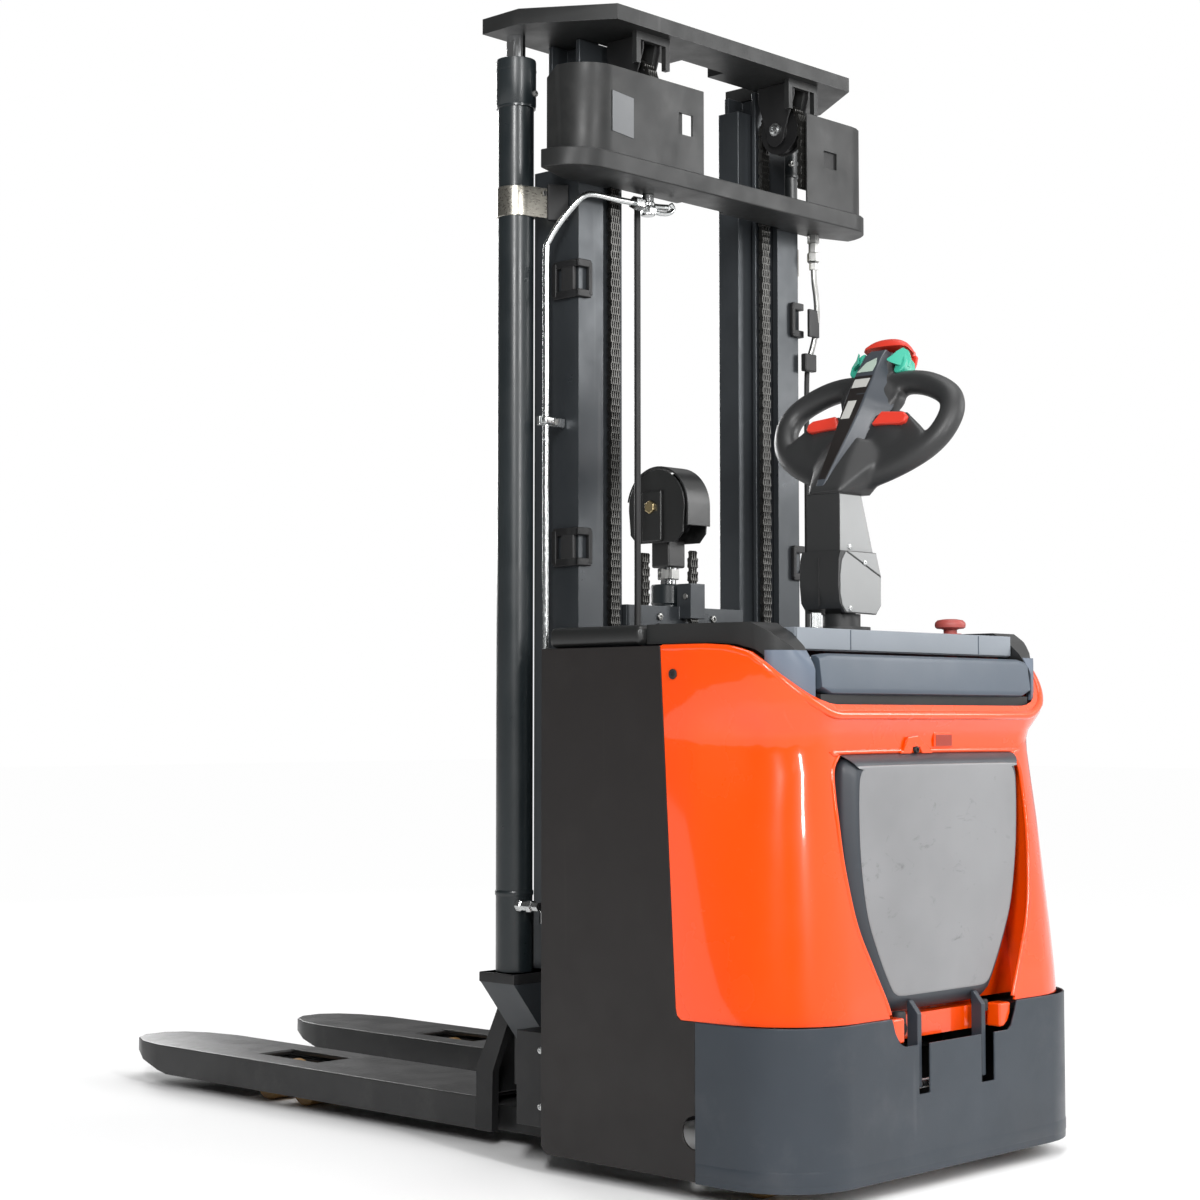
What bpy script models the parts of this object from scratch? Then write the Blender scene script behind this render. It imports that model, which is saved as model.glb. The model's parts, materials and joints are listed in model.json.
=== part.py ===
"""Walkie stacker with a full-free-lift triplex mast: structure and moving parts.

Metres, +Z up, +Y towards the fork tips, +X to the truck's right.
The origin is on the floor, below the centre of the bounding box.
The tiller is stored turned fully to the truck's right, so the drive wheel
under it is turned too.
"""
import bpy
import bmesh
import math
from mathutils import Matrix, Vector

# ---------------------------------------------------------------- dimensions
GAP = 0.0003
BODY_HALF = 0.425            # half of the chassis width
BODY_FRONT = -0.4195         # bulkhead face
BODY_REAR = -0.977
PLAN_R = 0.160               # rear corner radius in plan
SHEET = 0.004
SKIRT_Z = (0.030, 0.2855)
SKIRT_Y = -0.7675            # joint between side panel and skirt
HOOD_Z = (0.2860, 0.889)
HOOD_INSET = [(0.286, 0.006), (0.330, 0.009), (0.400, 0.016), (0.500, 0.027), (0.600, 0.038), (0.680, 0.049),
              (0.712, 0.053), (0.735, 0.054), (0.750, 0.050), (0.765, 0.040), (0.780, 0.030), (0.800, 0.024),
              (0.830, 0.022), (0.950, 0.022)]   # how far the hood stands in from the plan line at each height
LIP = 0.017                  # inward flange round the hood's top edge
COVER_TOP = 0.925

FORK_OUT, FORK_IN = 0.3185, 0.115
FORK_HEEL, FORK_TIP = -0.1458, 0.977
FORK_TOP, FORK_BOT = 0.088, 0.028
FORK_WALL = 0.006

ROLLER_R, ROLLER_X, ROLLER_Y = 0.037, 0.217, (0.530, 0.415)
AXLE_R, AXLE_BORE = 0.0060, 0.0065

OUTER_Z = (0.090, 1.757)
INTER_Z = (0.100, 1.9920)
INNER_Z = (0.110, 1.950)

TIE_Z = (1.7243, 1.757)
TOP_Z = (1.9923, 2.020)

CYL_X, CYL_Y = 0.375, -0.302
CYL_R, COLLAR_R, ROD_R, BORE_R = 0.0325, 0.0355, 0.0170, 0.0195
CYL_Z = (0.3285, 1.860, 1.948)

SHEAVE_X, SHEAVE_Y, SHEAVE_Z, SHEAVE_R = 0.2135, -0.439, 1.904, 0.0420
CHAIN_HALF, CHAIN_IN, CHAIN_OUT = 0.013, 0.0425, 0.0545

STEER = (0.0, -0.770)
WHEEL_R = 0.115
CASTER_X, CASTER_Y, CASTER_SWIVEL_Y, CASTER_R = 0.310, -0.816, -0.785, 0.050

PITCH_X, PITCH_Z = -0.045, 1.000
HEAD_BASE = Vector((-0.030, -0.770, 1.158))
HEAD_LEAN = math.radians(26.5)
PLATFORM_HINGE = (-0.955, 0.170)

# -------------------------------------------------------------- clean scene
for ob in list(bpy.data.objects):
    bpy.data.objects.remove(ob, do_unlink=True)

PARTS = bpy.data.collections.new("walkie_stacker")
CUTTERS = bpy.data.collections.new("walkie_stacker_cutters")
bpy.context.scene.collection.children.link(PARTS)
bpy.context.scene.collection.children.link(CUTTERS)

PALETTE = {
    "orange": ((0.78, 0.062, 0.004), 0.22, 0.0),
    "black_panel": ((0.010, 0.009, 0.008), 0.45, 0.0),
    "skirt_grey": ((0.020, 0.024, 0.029), 0.42, 0.0),
    "mast_grey": ((0.028, 0.029, 0.031), 0.40, 0.3),
    "frame_black": ((0.012, 0.012, 0.013), 0.5, 0.0),
    "cover_black": ((0.015, 0.016, 0.017), 0.38, 0.0),
    "tray_grey": ((0.16, 0.175, 0.20), 0.5, 0.0),
    "slate": ((0.060, 0.080, 0.105), 0.45, 0.0),
    "platform_grey": ((0.11, 0.11, 0.11), 0.5, 0.0),
    "steel": ((0.55, 0.56, 0.57), 0.25, 1.0),
    "chrome": ((0.75, 0.76, 0.78), 0.08, 1.0),
    "chain": ((0.05, 0.048, 0.045), 0.4, 1.0),
    "poly": ((0.28, 0.17, 0.06), 0.5, 0.0),
    "rubber": ((0.012, 0.012, 0.013), 0.7, 0.0),
    "red": ((0.65, 0.045, 0.03), 0.4, 0.0),
    "teal": ((0.03, 0.36, 0.26), 0.4, 0.0),
    "battery": ((0.03, 0.05, 0.09), 0.5, 0.0),
    "tiller_black": ((0.016, 0.016, 0.017), 0.45, 0.0),
}


def material(node, key):
    colour, rough, metal = PALETTE[key]
    m = bpy.data.materials.new(node)
    m.use_nodes = True
    b = m.node_tree.nodes["Principled BSDF"]
    b.inputs["Base Color"].default_value = (*colour, 1.0)
    b.inputs["Roughness"].default_value = rough
    b.inputs["Metallic"].default_value = metal
    m.diffuse_color = (*colour, 1.0)
    return m


# ---------------------------------------------------------------- shape tools
def new_object(name, bm, collection=CUTTERS):
    me = bpy.data.meshes.new(name)
    bm.to_mesh(me)
    bm.free()
    ob = bpy.data.objects.new(name, me)
    collection.objects.link(ob)
    return ob


def box(lo, hi, name="box"):
    """Axis-aligned block between two corners."""
    bm = bmesh.new()
    size = [hi[i] - lo[i] for i in range(3)]
    mid = [(hi[i] + lo[i]) / 2 for i in range(3)]
    bmesh.ops.create_cube(bm, size=1.0, matrix=Matrix.Translation(mid) @ Matrix.Diagonal((*size, 1.0)))
    return new_object(name, bm)


def mbox(side, x0, x1, y0, y1, z0, z1):
    """Block on one side of the truck: x0 and x1 are distances from the centre."""
    a, b = sorted((side * x0, side * x1))
    return box((a, y0, z0), (b, y1, z1))


def cylinder(p, axis, r, length, seg=24, name="cyl"):
    """Cylinder centred on p along X, Y or Z."""
    rot = {"X": Matrix.Rotation(math.radians(90), 4, "Y"),
           "Y": Matrix.Rotation(math.radians(90), 4, "X"),
           "Z": Matrix.Identity(4)}[axis]
    bm = bmesh.new()
    bmesh.ops.create_cone(bm, cap_ends=True, cap_tris=False, segments=seg, radius1=r, radius2=r,
                          depth=length, matrix=Matrix.Translation(p) @ rot)
    return new_object(name, bm)


def bake(ob):
    """Replace an object by its evaluated mesh."""
    bpy.context.view_layer.update()
    dg = bpy.context.evaluated_depsgraph_get()
    me = bpy.data.meshes.new_from_object(ob.evaluated_get(dg))
    bm = bmesh.new()
    bm.from_mesh(me)
    bmesh.ops.remove_doubles(bm, verts=bm.verts, dist=0.00002)
    bm.to_mesh(me)
    bm.free()
    out = bpy.data.objects.new(ob.name + "_m", me)
    out.matrix_world = ob.matrix_world.copy()
    CUTTERS.objects.link(out)
    bpy.data.objects.remove(ob, do_unlink=True)
    return out


def plate(outlines, a, b, plane):
    """Flat outlines (first is the outside, others are holes) extruded from a to b
    along the normal of the plane 'XY', 'YZ' or 'XZ'."""
    cu = bpy.data.curves.new("plate", "CURVE")
    cu.dimensions = "2D"
    cu.fill_mode = "BOTH"
    cu.extrude = abs(b - a) / 2
    cu.render_resolution_u = 0
    for pts in outlines:
        sp = cu.splines.new("POLY")
        sp.points.add(len(pts) - 1)
        for p, (u, v) in zip(sp.points, pts):
            p.co = (u, v, 0.0, 1.0)
        sp.use_cyclic_u = True
    ob = bpy.data.objects.new("plate", cu)
    CUTTERS.objects.link(ob)
    mid = (a + b) / 2
    if plane == "XY":
        m = Matrix(((1, 0, 0, 0), (0, 1, 0, 0), (0, 0, 1, mid), (0, 0, 0, 1)))
    elif plane == "YZ":
        m = Matrix(((0, 0, 1, mid), (1, 0, 0, 0), (0, 1, 0, 0), (0, 0, 0, 1)))
    elif plane == "XZ":
        m = Matrix(((1, 0, 0, 0), (0, 0, -1, mid), (0, 1, 0, 0), (0, 0, 0, 1)))
    else:
        m = plane @ Matrix.Translation((0, 0, mid))
    ob.matrix_world = m
    return bake(ob)


def turned(profile, p, axis="Z", steps=32):
    """Solid of revolution from (radius, height) points running down the outer side."""
    me = bpy.data.meshes.new("turned")
    closed = profile[0] == profile[-1]
    pts = profile[:-1] if closed else profile
    edges = [(i, i + 1) for i in range(len(pts) - 1)]
    if closed:
        edges.append((len(pts) - 1, 0))
    me.from_pydata([(r, 0.0, h) for r, h in pts], edges, [])
    ob = bpy.data.objects.new("turned", me)
    CUTTERS.objects.link(ob)
    s = ob.modifiers.new("screw", "SCREW")
    s.steps = s.render_steps = steps
    s.use_merge_vertices = True
    s.merge_threshold = 0.00005
    s.use_smooth_shade = True
    rot = {"X": Matrix.Rotation(math.radians(90), 4, "Y"),
           "Y": Matrix.Rotation(math.radians(-90), 4, "X"),
           "Z": Matrix.Identity(4)}[axis]
    ob.matrix_world = Matrix.Translation(p) @ rot
    return bake(ob)


def ring(r_out, r_in, width, p, axis, steps=32, crown=0.002):
    """Wheel or roller with a bore, its edges rounded by a small chamfer."""
    h = width / 2
    return turned([(r_out - crown, h), (r_out, h - crown), (r_out, -h + crown), (r_out - crown, -h),
                   (r_in, -h), (r_in, h), (r_out - crown, h)], p, axis, steps)


def tube(points, r, res=2):
    """Round tube along a list of points."""
    cu = bpy.data.curves.new("tube", "CURVE")
    cu.dimensions = "3D"
    cu.bevel_depth = r
    cu.bevel_resolution = res
    cu.use_fill_caps = True
    cu.render_resolution_u = 0
    sp = cu.splines.new("POLY")
    sp.points.add(len(points) - 1)
    for p, c in zip(sp.points, points):
        p.co = (*c, 1.0)
    ob = bpy.data.objects.new("tube", cu)
    CUTTERS.objects.link(ob)
    return bake(ob)


def combine(base, others, operation):
    for o in others:
        m = base.modifiers.new("bool", "BOOLEAN")
        m.operation = operation
        m.solver = "EXACT"
        m.object = o
    out = bake(base)
    for o in others:
        bpy.data.objects.remove(o, do_unlink=True)
    return out


def union(base, *others):
    return combine(base, others, "UNION")


def cut(base, *others):
    return combine(base, others, "DIFFERENCE")


def bevel(ob, width, segments=2, angle=35):
    m = ob.modifiers.new("bevel", "BEVEL")
    m.width = width
    m.segments = segments
    m.limit_method = "ANGLE"
    m.angle_limit = math.radians(angle)
    m.harden_normals = False
    return bake(ob)


def finish(ob, name, key, origin=(0.0, 0.0, 0.0), smooth=True):
    """Name the part, put its origin on its joint axis and give it its material."""
    ob.data.transform(ob.matrix_world)
    ob.data.transform(Matrix.Translation([-c for c in origin]))
    ob.matrix_world = Matrix.Translation(origin)
    CUTTERS.objects.unlink(ob)
    PARTS.objects.link(ob)
    ob.name = name
    ob.data.name = name
    ob.data.materials.clear()
    ob.data.materials.append(material(name, key))
    if smooth:
        ob.data.shade_smooth()
        ob.data.set_sharp_from_angle(angle=math.radians(30))
    return ob


def mirror_points(half):
    """Complete an outline given for positive x, listed from the top down."""
    return half + [(-x, y) for x, y in reversed(half)]


def rear_path(inset=0.0, y_start=SKIRT_Y, steps=10, radius=PLAN_R):
    """Plan line of the rear body from the left side round to the right side."""
    h, r = BODY_HALF - inset, radius - inset
    cx, cy = BODY_HALF - radius, BODY_REAR + radius
    pts = [(-h, y_start)]
    for i in range(steps + 1):
        a = math.radians(180 + 90 * i / steps)
        pts.append((-cx + r * math.cos(a), cy + r * math.sin(a)))
    for i in range(steps + 1):
        a = math.radians(270 + 90 * i / steps)
        pts.append((cx + r * math.cos(a), cy + r * math.sin(a)))
    pts.append((h, y_start))
    return pts


def inset_at(z):
    """Inset of the hood at one height, straight between the listed heights."""
    pts = HOOD_INSET
    for (z0, d0), (z1, d1) in zip(pts, pts[1:]):
        if z <= z1:
            return d0 + (d1 - d0) * max(0.0, z - z0) / (z1 - z0)
    return pts[-1][1]


def inward(x, y, d):
    """Move a plan point towards the middle by d behind the side panels, fading out towards them."""
    cx, cy = BODY_HALF - PLAN_R, BODY_REAR + PLAN_R
    t = min(1.0, max(0.0, (-0.720 - y) / 0.140))
    d *= t * t * (3 - 2 * t)
    if y < cy and abs(x) > cx:
        v = Vector((math.copysign(cx, x) - x, cy - y)).normalized()
        return x + d * v.x, y + d * v.y
    if y < cy:
        return x, y + d
    return x - math.copysign(d, x), y


def lean(ob, levels, cuts):
    """Cut an object at the given heights and lengths, then draw it in to the hood's shape."""
    ob.data.transform(ob.matrix_world)
    ob.matrix_world = Matrix.Identity(4)
    bm = bmesh.new()
    bm.from_mesh(ob.data)
    for axis, values in (((0, 0, 1), levels), ((0, 1, 0), cuts)):
        for c in values:
            bmesh.ops.bisect_plane(bm, geom=bm.verts[:] + bm.edges[:] + bm.faces[:], dist=1e-6,
                                   plane_co=[k * c for k in axis], plane_no=axis)
    for v in bm.verts:
        v.co.x, v.co.y = inward(v.co.x, v.co.y, inset_at(v.co.z))
    bmesh.ops.triangulate(bm, faces=[f for f in bm.faces if len(f.verts) > 3])
    bm.to_mesh(ob.data)
    bm.free()
    return ob


SIDES = (("left", -1), ("right", 1))

# ------------------------------------------------------------ chassis weldment
frame_bits = [
    box((-0.4205, -0.660, 0.160), (0.4205, BODY_FRONT, 0.172)),
    box((-0.4205, -0.655, 0.255), (0.4205, -0.647, 0.800)),
    box((-0.4205, -0.800, 0.262), (0.4205, -0.647, 0.272)),
    box((-0.360, -0.925, 0.262), (0.360, -0.790, 0.272)),
]
for _, s in SIDES:
    frame_bits.append(mbox(s, 0.405, 0.4205, -0.780, BODY_FRONT, 0.160, 0.2855))
    frame_bits.append(mbox(s, 0.3103, 0.415, -0.425, -0.350, 0.075, 0.235))
    frame_bits.append(mbox(s, 0.150, 0.285, -0.430, 0.600, 0.026, 0.072))
chassis = union(box((-0.4205, -0.4315, 0.045), (0.4205, BODY_FRONT, 0.885)), *frame_bits)
chassis = cut(chassis,
              cylinder((STEER[0], STEER[1], 0.267), "Z", 0.105, 0.05, 32),
              mbox(-1, 0.168, 0.266, 0.370, 0.575, 0.0, 0.1),
              mbox(1, 0.168, 0.266, 0.370, 0.575, 0.0, 0.1))
axles = [cylinder((s * ROLLER_X, y, ROLLER_R), "X", AXLE_R, 0.110, 12) for _, s in SIDES for y in ROLLER_Y]
chassis = union(chassis, *axles)
finish(chassis, "chassis_frame", "frame_black")

for side, s in SIDES:
    for end, y in zip(("front", "rear"), ROLLER_Y):
        finish(ring(ROLLER_R, AXLE_BORE, 0.088, (s * ROLLER_X, y, ROLLER_R), "X", 32),
               f"load_roller_{side}_{end}", "poly", (s * ROLLER_X, y, ROLLER_R))

# ----------------------------------------------------------------- body panels
notch = [(SKIRT_Y + 0.0005 + 0.027 * math.cos(a), 0.110 + 0.027 * math.sin(a))
         for a in [math.radians(-90 + 18 * i) for i in range(11)]]
panel_outline = [(-0.4190, 0.048), (-0.4330, 0.034), (SKIRT_Y + 0.0005, 0.032)] + notch + [
    (SKIRT_Y + 0.0005, 0.2855), (-0.7370, 0.2855), (-0.7290, 0.2920), (-0.7260, 0.3040),
    (-0.6930, 0.8890), (-0.4190, 0.8890)]
for side, s in SIDES:
    a, b = sorted((s * 0.4208, s * BODY_HALF))
    finish(plate([panel_outline], a, b, "YZ"), f"side_panel_{side}", "black_panel")

skirt = plate([rear_path(radius=0.140) + rear_path(SHEET, radius=0.140)[::-1]], *SKIRT_Z, "XY")
slots = plate([[(-0.186, 0.300), (-0.172, 0.262), (-0.160, 0.245), (-0.146, 0.238), (-0.108, 0.238),
                (-0.108, 0.1575), (-0.078, 0.1575), (-0.078, 0.238), (0.070, 0.238), (0.070, 0.1575),
                (0.108, 0.1575), (0.108, 0.238), (0.150, 0.238), (0.160, 0.245), (0.172, 0.270),
                (0.182, 0.300)]], -1.05, -0.90, "XZ")
skirt = cut(skirt, slots)
finish(skirt, "skirt", "skirt_grey")

CONTOUR = [(-0.780, 0.889), (-0.823, 0.886), (-0.860, 0.877), (-0.891, 0.857), (-0.918, 0.833),
           (-0.941, 0.811), (-0.957, 0.796), (-0.967, 0.784), (-0.974, 0.776), (-0.978, 0.772)]
hood = plate([rear_path(0.0, -0.676) + rear_path(SHEET, -0.676)[::-1]], *HOOD_Z, "XY")
flange = plate([rear_path(SHEET - 0.0005, -0.676) + rear_path(LIP, -0.676)[::-1]], *HOOD_Z, "XY")
flange = cut(flange, plate([[(-0.600, 0.885)] + [(y, z - SHEET) for y, z in CONTOUR]
                            + [(-1.05, 0.768), (-1.05, 0.20), (-0.600, 0.20)]], -0.5, 0.5, "YZ"))
hood = union(hood, flange)
top_cut = plate([CONTOUR + [(-1.05, 0.772), (-1.05, 0.95), (-0.780, 0.95)]], -0.5, 0.5, "YZ")
side_cut = plate([[(-0.6940, 0.90), (-0.7272, 0.304), (-0.7298, 0.2928), (-0.7385, 0.2858),
                   (-0.7385, 0.20), (-0.60, 0.20), (-0.60, 0.90)]], -0.5, 0.5, "YZ")
window = plate([mirror_points([(0.230, 0.715), (0.250, 0.708), (0.268, 0.686), (0.271, 0.600), (0.266, 0.530),
                               (0.248, 0.440), (0.217, 0.372), (0.186, 0.312), (0.168, 0.240)])],
               -1.05, -0.95, "XZ")
hood = cut(hood, top_cut, side_cut, window)
hood = union(hood,
             box((-0.284, -0.905, 0.286), (0.284, -0.901, 0.7255)),
             box((-0.284, -0.974, 0.286), (-0.280, -0.902, 0.7255)),
             box((0.280, -0.974, 0.286), (0.284, -0.902, 0.7255)),
             box((-0.283, -0.974, 0.7215), (0.283, -0.902, 0.7255)),
             box((-0.150, -0.905, 0.2752), (0.150, -0.901, 0.300)),
             box((-0.150, -0.940, 0.2750), (0.150, -0.902, 0.281)),
             box((-0.150, -0.940, 0.242), (0.150, -0.936, 0.280)))
hood = lean(hood, [0.33, 0.40, 0.45, 0.50, 0.55, 0.60, 0.64, 0.68, 0.712, 0.735, 0.750, 0.765, 0.780, 0.800, 0.830],
            [-0.745, -0.770, -0.795])
finish(hood, "hood", "orange")

console = cut(box((-0.307, -0.883, 0.880), (0.307, -0.6495, 0.918)),
              cylinder((STEER[0], STEER[1], 0.90), "Z", 0.063, 0.1, 32),
              cylinder((0.170, -0.850, 0.90), "Z", 0.0125, 0.1, 16),
              cylinder((-0.200, -0.840, 0.90), "Z", 0.0125, 0.1, 16),
              box((-0.285, -0.740, 0.905), (-0.080, -0.665, 0.95)),
              box((0.080, -0.740, 0.905), (0.285, -0.665, 0.95)))
finish(console, "console", "tray_grey")

def drawn(y, z):
    """Contour point moved in with the hood."""
    side = min(1.0, max(0.0, (BODY_REAR + PLAN_R - y) / PLAN_R))
    return y + inset_at(z) * side, z + 0.0035


arm_side = [(-0.6455, 0.8925)] + [drawn(y, z) for y, z in CONTOUR[:-3]] + [
    (-0.937, 0.802), (-0.934, 0.822), (-0.922, 0.856), (-0.902, 0.886), (-0.876, 0.909), (-0.846, COVER_TOP),
    (-0.6455, COVER_TOP)]
cowl = union(plate([arm_side], -0.415, -0.3085, "YZ"), plate([arm_side], 0.3085, 0.415, "YZ"),
             box((-0.409, -0.6490, 0.8925), (0.409, -0.6440, 0.9245)))
plan = [inward(x, y, 0.022) for x, y in [(-0.4025, -0.60)] + rear_path(0.0225, -0.72)
        + [(0.4025, -0.60)]]
cowl = combine(cowl, [plate([plan], 0.70, 1.00, "XY")], "INTERSECT")
finish(cowl, "rear_cowl", "cover_black")

storage = bevel(box((-0.2990, -0.930, 0.798), (0.2990, -0.905, 0.874)), 0.006, 2)
finish(storage, "storage_panel", "slate")

lid = bevel(box((-0.418, -0.6430, 0.8900), (0.418, -0.4270, COVER_TOP)), 0.012, 3)
finish(lid, "battery_cover", "cover_black", (0.0, -0.430, 0.900))

finish(bevel(box((-0.395, -0.640, 0.1725), (0.395, -0.440, 0.860)), 0.006, 1), "battery", "battery")
finish(bevel(box((-0.345, -0.860, 0.2725), (-0.145, -0.670, 0.600)), 0.01, 1), "hydraulic_unit", "steel")

finish(turned([(0, 0.945), (0.024, 0.942), (0.027, 0.938), (0.027, 0.930), (0.014, 0.929), (0.012, 0.924),
               (0.012, 0.870), (0, 0.870)], (0.170, -0.850, 0.0), "Z", 24),
       "emergency_stop", "red", (0.170, -0.850, 0.930))
key = union(cylinder((-0.200, -0.840, 0.902), "Z", 0.012, 0.040, 16),
            box((-0.212, -0.842, 0.920), (-0.188, -0.838, 0.945)))
finish(key, "key_switch", "steel", (-0.200, -0.840, 0.920))

# ------------------------------------------------------------------ outer mast
def channel(s, x_web, x_web2, x_flange, flanges, y_web):
    """Plan outline of a channel: web between x_web and x_web2, flanges to x_flange."""
    (r0, r1), (f0, f1) = flanges
    pts = [(x_web, r0), (x_flange, r0), (x_flange, r1), (x_web2, r1),
           (x_web2, f0), (x_flange, f0), (x_flange, f1), (x_web, f1)]
    return [(s * x, y) for x, y in pts]


for side, s in SIDES:
    outer = plate([channel(s, 0.310, 0.300, 0.247, ((-0.396, -0.384), (-0.297, -0.285)), 0)], *OUTER_Z, "XY")
    wedge = plate([[(s * x, z) for x, z in [(0.309, 0.328), (0.418, 0.328), (0.418, 0.311),
                                              (0.350, 0.228), (0.309, 0.178)]]], -0.345, -0.262, "XZ")
    finish(union(outer, wedge), f"outer_mast_{side}", "mast_grey")

    h_section = [(0.292, -0.380), (0.292, -0.370), (0.252, -0.370), (0.252, -0.311), (0.292, -0.311),
                 (0.292, -0.301), (0.200, -0.301), (0.200, -0.311), (0.242, -0.311), (0.242, -0.370),
                 (0.200, -0.370), (0.200, -0.380)]
    finish(plate([[(s * x, y) for x, y in h_section]], *INTER_Z, "XY"), f"intermediate_mast_{side}", "mast_grey")

    finish(plate([channel(s, 0.165, 0.175, 0.236, ((-0.366, -0.356), (-0.325, -0.315)), 0)], *INNER_Z, "XY"),
           f"inner_mast_{side}", "mast_grey")

    barrel = turned([(0, 0.360), (BORE_R, 0.360), (BORE_R, CYL_Z[2]), (COLLAR_R, CYL_Z[2]), (COLLAR_R, CYL_Z[1]),
                     (CYL_R, CYL_Z[1]), (CYL_R, CYL_Z[0]), (0, CYL_Z[0])], (s * CYL_X, CYL_Y, 0), "Z", 28)
    finish(barrel, f"lift_cylinder_{side}", "frame_black")
    finish(cylinder((s * CYL_X, CYL_Y, (0.45 + 1.9920) / 2), "Z", ROD_R, 1.9920 - 0.45, 24),
           f"lift_rod_{side}", "chrome")

# tie plate across the top of the outer mast, with large rounded rear corners
def corner(cx, cy, r, a0, a1, n=6):
    return [(cx + r * math.cos(math.radians(a0 + (a1 - a0) * i / n)),
             cy + r * math.sin(math.radians(a0 + (a1 - a0) * i / n))) for i in range(n + 1)]


tie = ([(-0.240, -0.408), (-0.240, -0.3964), (-0.352, -0.3964)]
       + corner(-0.355, -0.425, 0.080, 180, 270) + corner(0.355, -0.425, 0.080, 270, 360)
       + [(0.352, -0.3964), (0.240, -0.3964), (0.240, -0.408),
          (0.060, -0.408), (0.060, -0.420), (-0.060, -0.420), (-0.060, -0.408)])
finish(plate([tie], *TIE_Z, "XY"), "tie_plate", "mast_grey")


def cover(s, x_inner, x_outer, z_top, hole):
    """Bent cover over one chain wheel; its side wall is lower towards the front."""
    c = x_outer - 0.070
    out = [(x_inner, -0.5005)] + [(x, y) for x, y in corner(c, -0.4305, 0.070, 270, 360)] + [(x_outer, -0.405)]
    inn = [(x_outer - SHEET, -0.405)] + [(x, y) for x, y in corner(c, -0.4305, 0.066, 360, 270)] + [(x_inner, -0.4965)]
    ob = plate([[(s * x, y) for x, y in out + inn]], 1.7573, z_top, "XY")
    slope = plate([[(-0.4305, z_top + 0.01), (-0.4305, z_top), (-0.400, z_top - 0.022), (-0.390, z_top + 0.01)]],
                  -0.5, 0.5, "YZ")
    return cut(ob, box((hole[0], -0.52, hole[2]), (hole[1], -0.48, hole[3])), slope)


finish(cover(-1, 0.090, 0.400, 1.912, (-0.159, -0.1215, 1.822, 1.861)), "mast_cover_left", "mast_grey")
finish(cover(1, 0.210, 0.420, 1.930, (0.262, 0.302, 1.834, 1.866)), "mast_cover_right", "mast_grey")

# ------------------------------------------------- top plate and chain sheaves
top = plate([[(-0.330, -0.5105), (0.330, -0.5105), (0.428, -0.362), (0.428, -0.270), (0.240, -0.270),
              (0.240, -0.379), (0.060, -0.379), (0.060, -0.420), (-0.060, -0.420), (-0.060, -0.379),
              (-0.240, -0.379), (-0.240, -0.270), (-0.428, -0.270), (-0.428, -0.362)]], *TOP_Z, "XY")
ear = [(-0.478, 2.000), (-0.478, 1.975), (-0.459, 1.898), (-0.449, 1.884), (-0.429, 1.884), (-0.419, 1.898),
       (-0.400, 1.975), (-0.400, 2.000)]
bits = []
for _, s in SIDES:
    for x0, x1 in ((0.192, 0.198), (0.229, 0.235)):
        a, b = sorted((s * x0, s * x1))
        bits.append(plate([ear], a, b, "YZ"))
    bits.append(cylinder((s * SHEAVE_X, SHEAVE_Y, SHEAVE_Z), "X", 0.010, 0.049, 12))
    bits.append(mbox(s, 0.170, 0.181, -0.489, -0.4785, 1.935, 2.000))
    bits.append(mbox(s, 0.247, 0.258, -0.489, -0.4785, 1.935, 2.000))
    bits.append(mbox(s, 0.172, 0.256, -0.489, -0.4785, 1.978, 2.000))
finish(union(top, *bits), "top_plate", "mast_grey")

for side, s in SIDES:
    finish(ring(SHEAVE_R, 0.0105, 0.020, (s * SHEAVE_X, SHEAVE_Y, SHEAVE_Z), "X", 32),
           f"chain_sheave_{side}", "steel", (s * SHEAVE_X, SHEAVE_Y, SHEAVE_Z))
    arc = [(SHEAVE_Y + CHAIN_OUT * math.cos(math.radians(a)), SHEAVE_Z + CHAIN_OUT * math.sin(math.radians(a)))
           for a in range(0, 181, 15)]
    arc_in = [(SHEAVE_Y + CHAIN_IN * math.cos(math.radians(a)), SHEAVE_Z + CHAIN_IN * math.sin(math.radians(a)))
              for a in range(180, -1, -15)]
    path = ([(SHEAVE_Y + CHAIN_OUT, 0.120)] + arc + [(SHEAVE_Y - CHAIN_OUT, 1.775), (SHEAVE_Y - CHAIN_IN, 1.775)]
            + arc_in + [(SHEAVE_Y + CHAIN_IN, 0.120)])
    a, b = sorted((s * (SHEAVE_X - CHAIN_HALF), s * (SHEAVE_X + CHAIN_HALF)))
    finish(plate([path], a, b, "YZ"), f"lift_chain_{side}", "chain")

# --------------------------------------------------- free lift and fork carriage
beam = union(box((-0.1645, -0.3755, 0.937), (0.1645, -0.3605, 0.977)),
             box((-0.020, -0.404, 0.955), (-0.014, -0.370, 1.020)),
             box((0.014, -0.404, 0.955), (0.020, -0.370, 1.020)),
             box((-0.019, -0.404, 0.955), (0.019, -0.400, 1.020)))
finish(beam, "inner_crossbeam", "mast_grey")

FREE_Y = -0.330
finish(turned([(0, 0.180), (0.0165, 0.180), (0.0165, 1.020), (0.030, 1.020), (0.030, 0.150), (0, 0.150)],
              (0, FREE_Y, 0), "Z", 24), "freelift_cylinder", "frame_black")
casing = ([(FREE_Y + 0.070, 1.095), (FREE_Y + 0.075, 1.165)]
          + corner(FREE_Y, 1.165, 0.078, 15, 165, 8)
          + [(FREE_Y - 0.077, 1.165), (FREE_Y - 0.076, 1.095)])
head = union(plate([casing], -0.032, 0.032, "YZ"), cylinder((0, FREE_Y, (0.25 + 1.12) / 2), "Z", 0.0145, 0.87, 20),
             box((-0.020, FREE_Y - 0.020, 1.060), (0.020, FREE_Y + 0.020, 1.100)))
finish(head, "freelift_head", "cover_black")
finish(box((-0.011, -0.397, 0.360), (0.011, -0.385, 1.0947)), "freelift_chain_rear", "chain")
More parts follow.
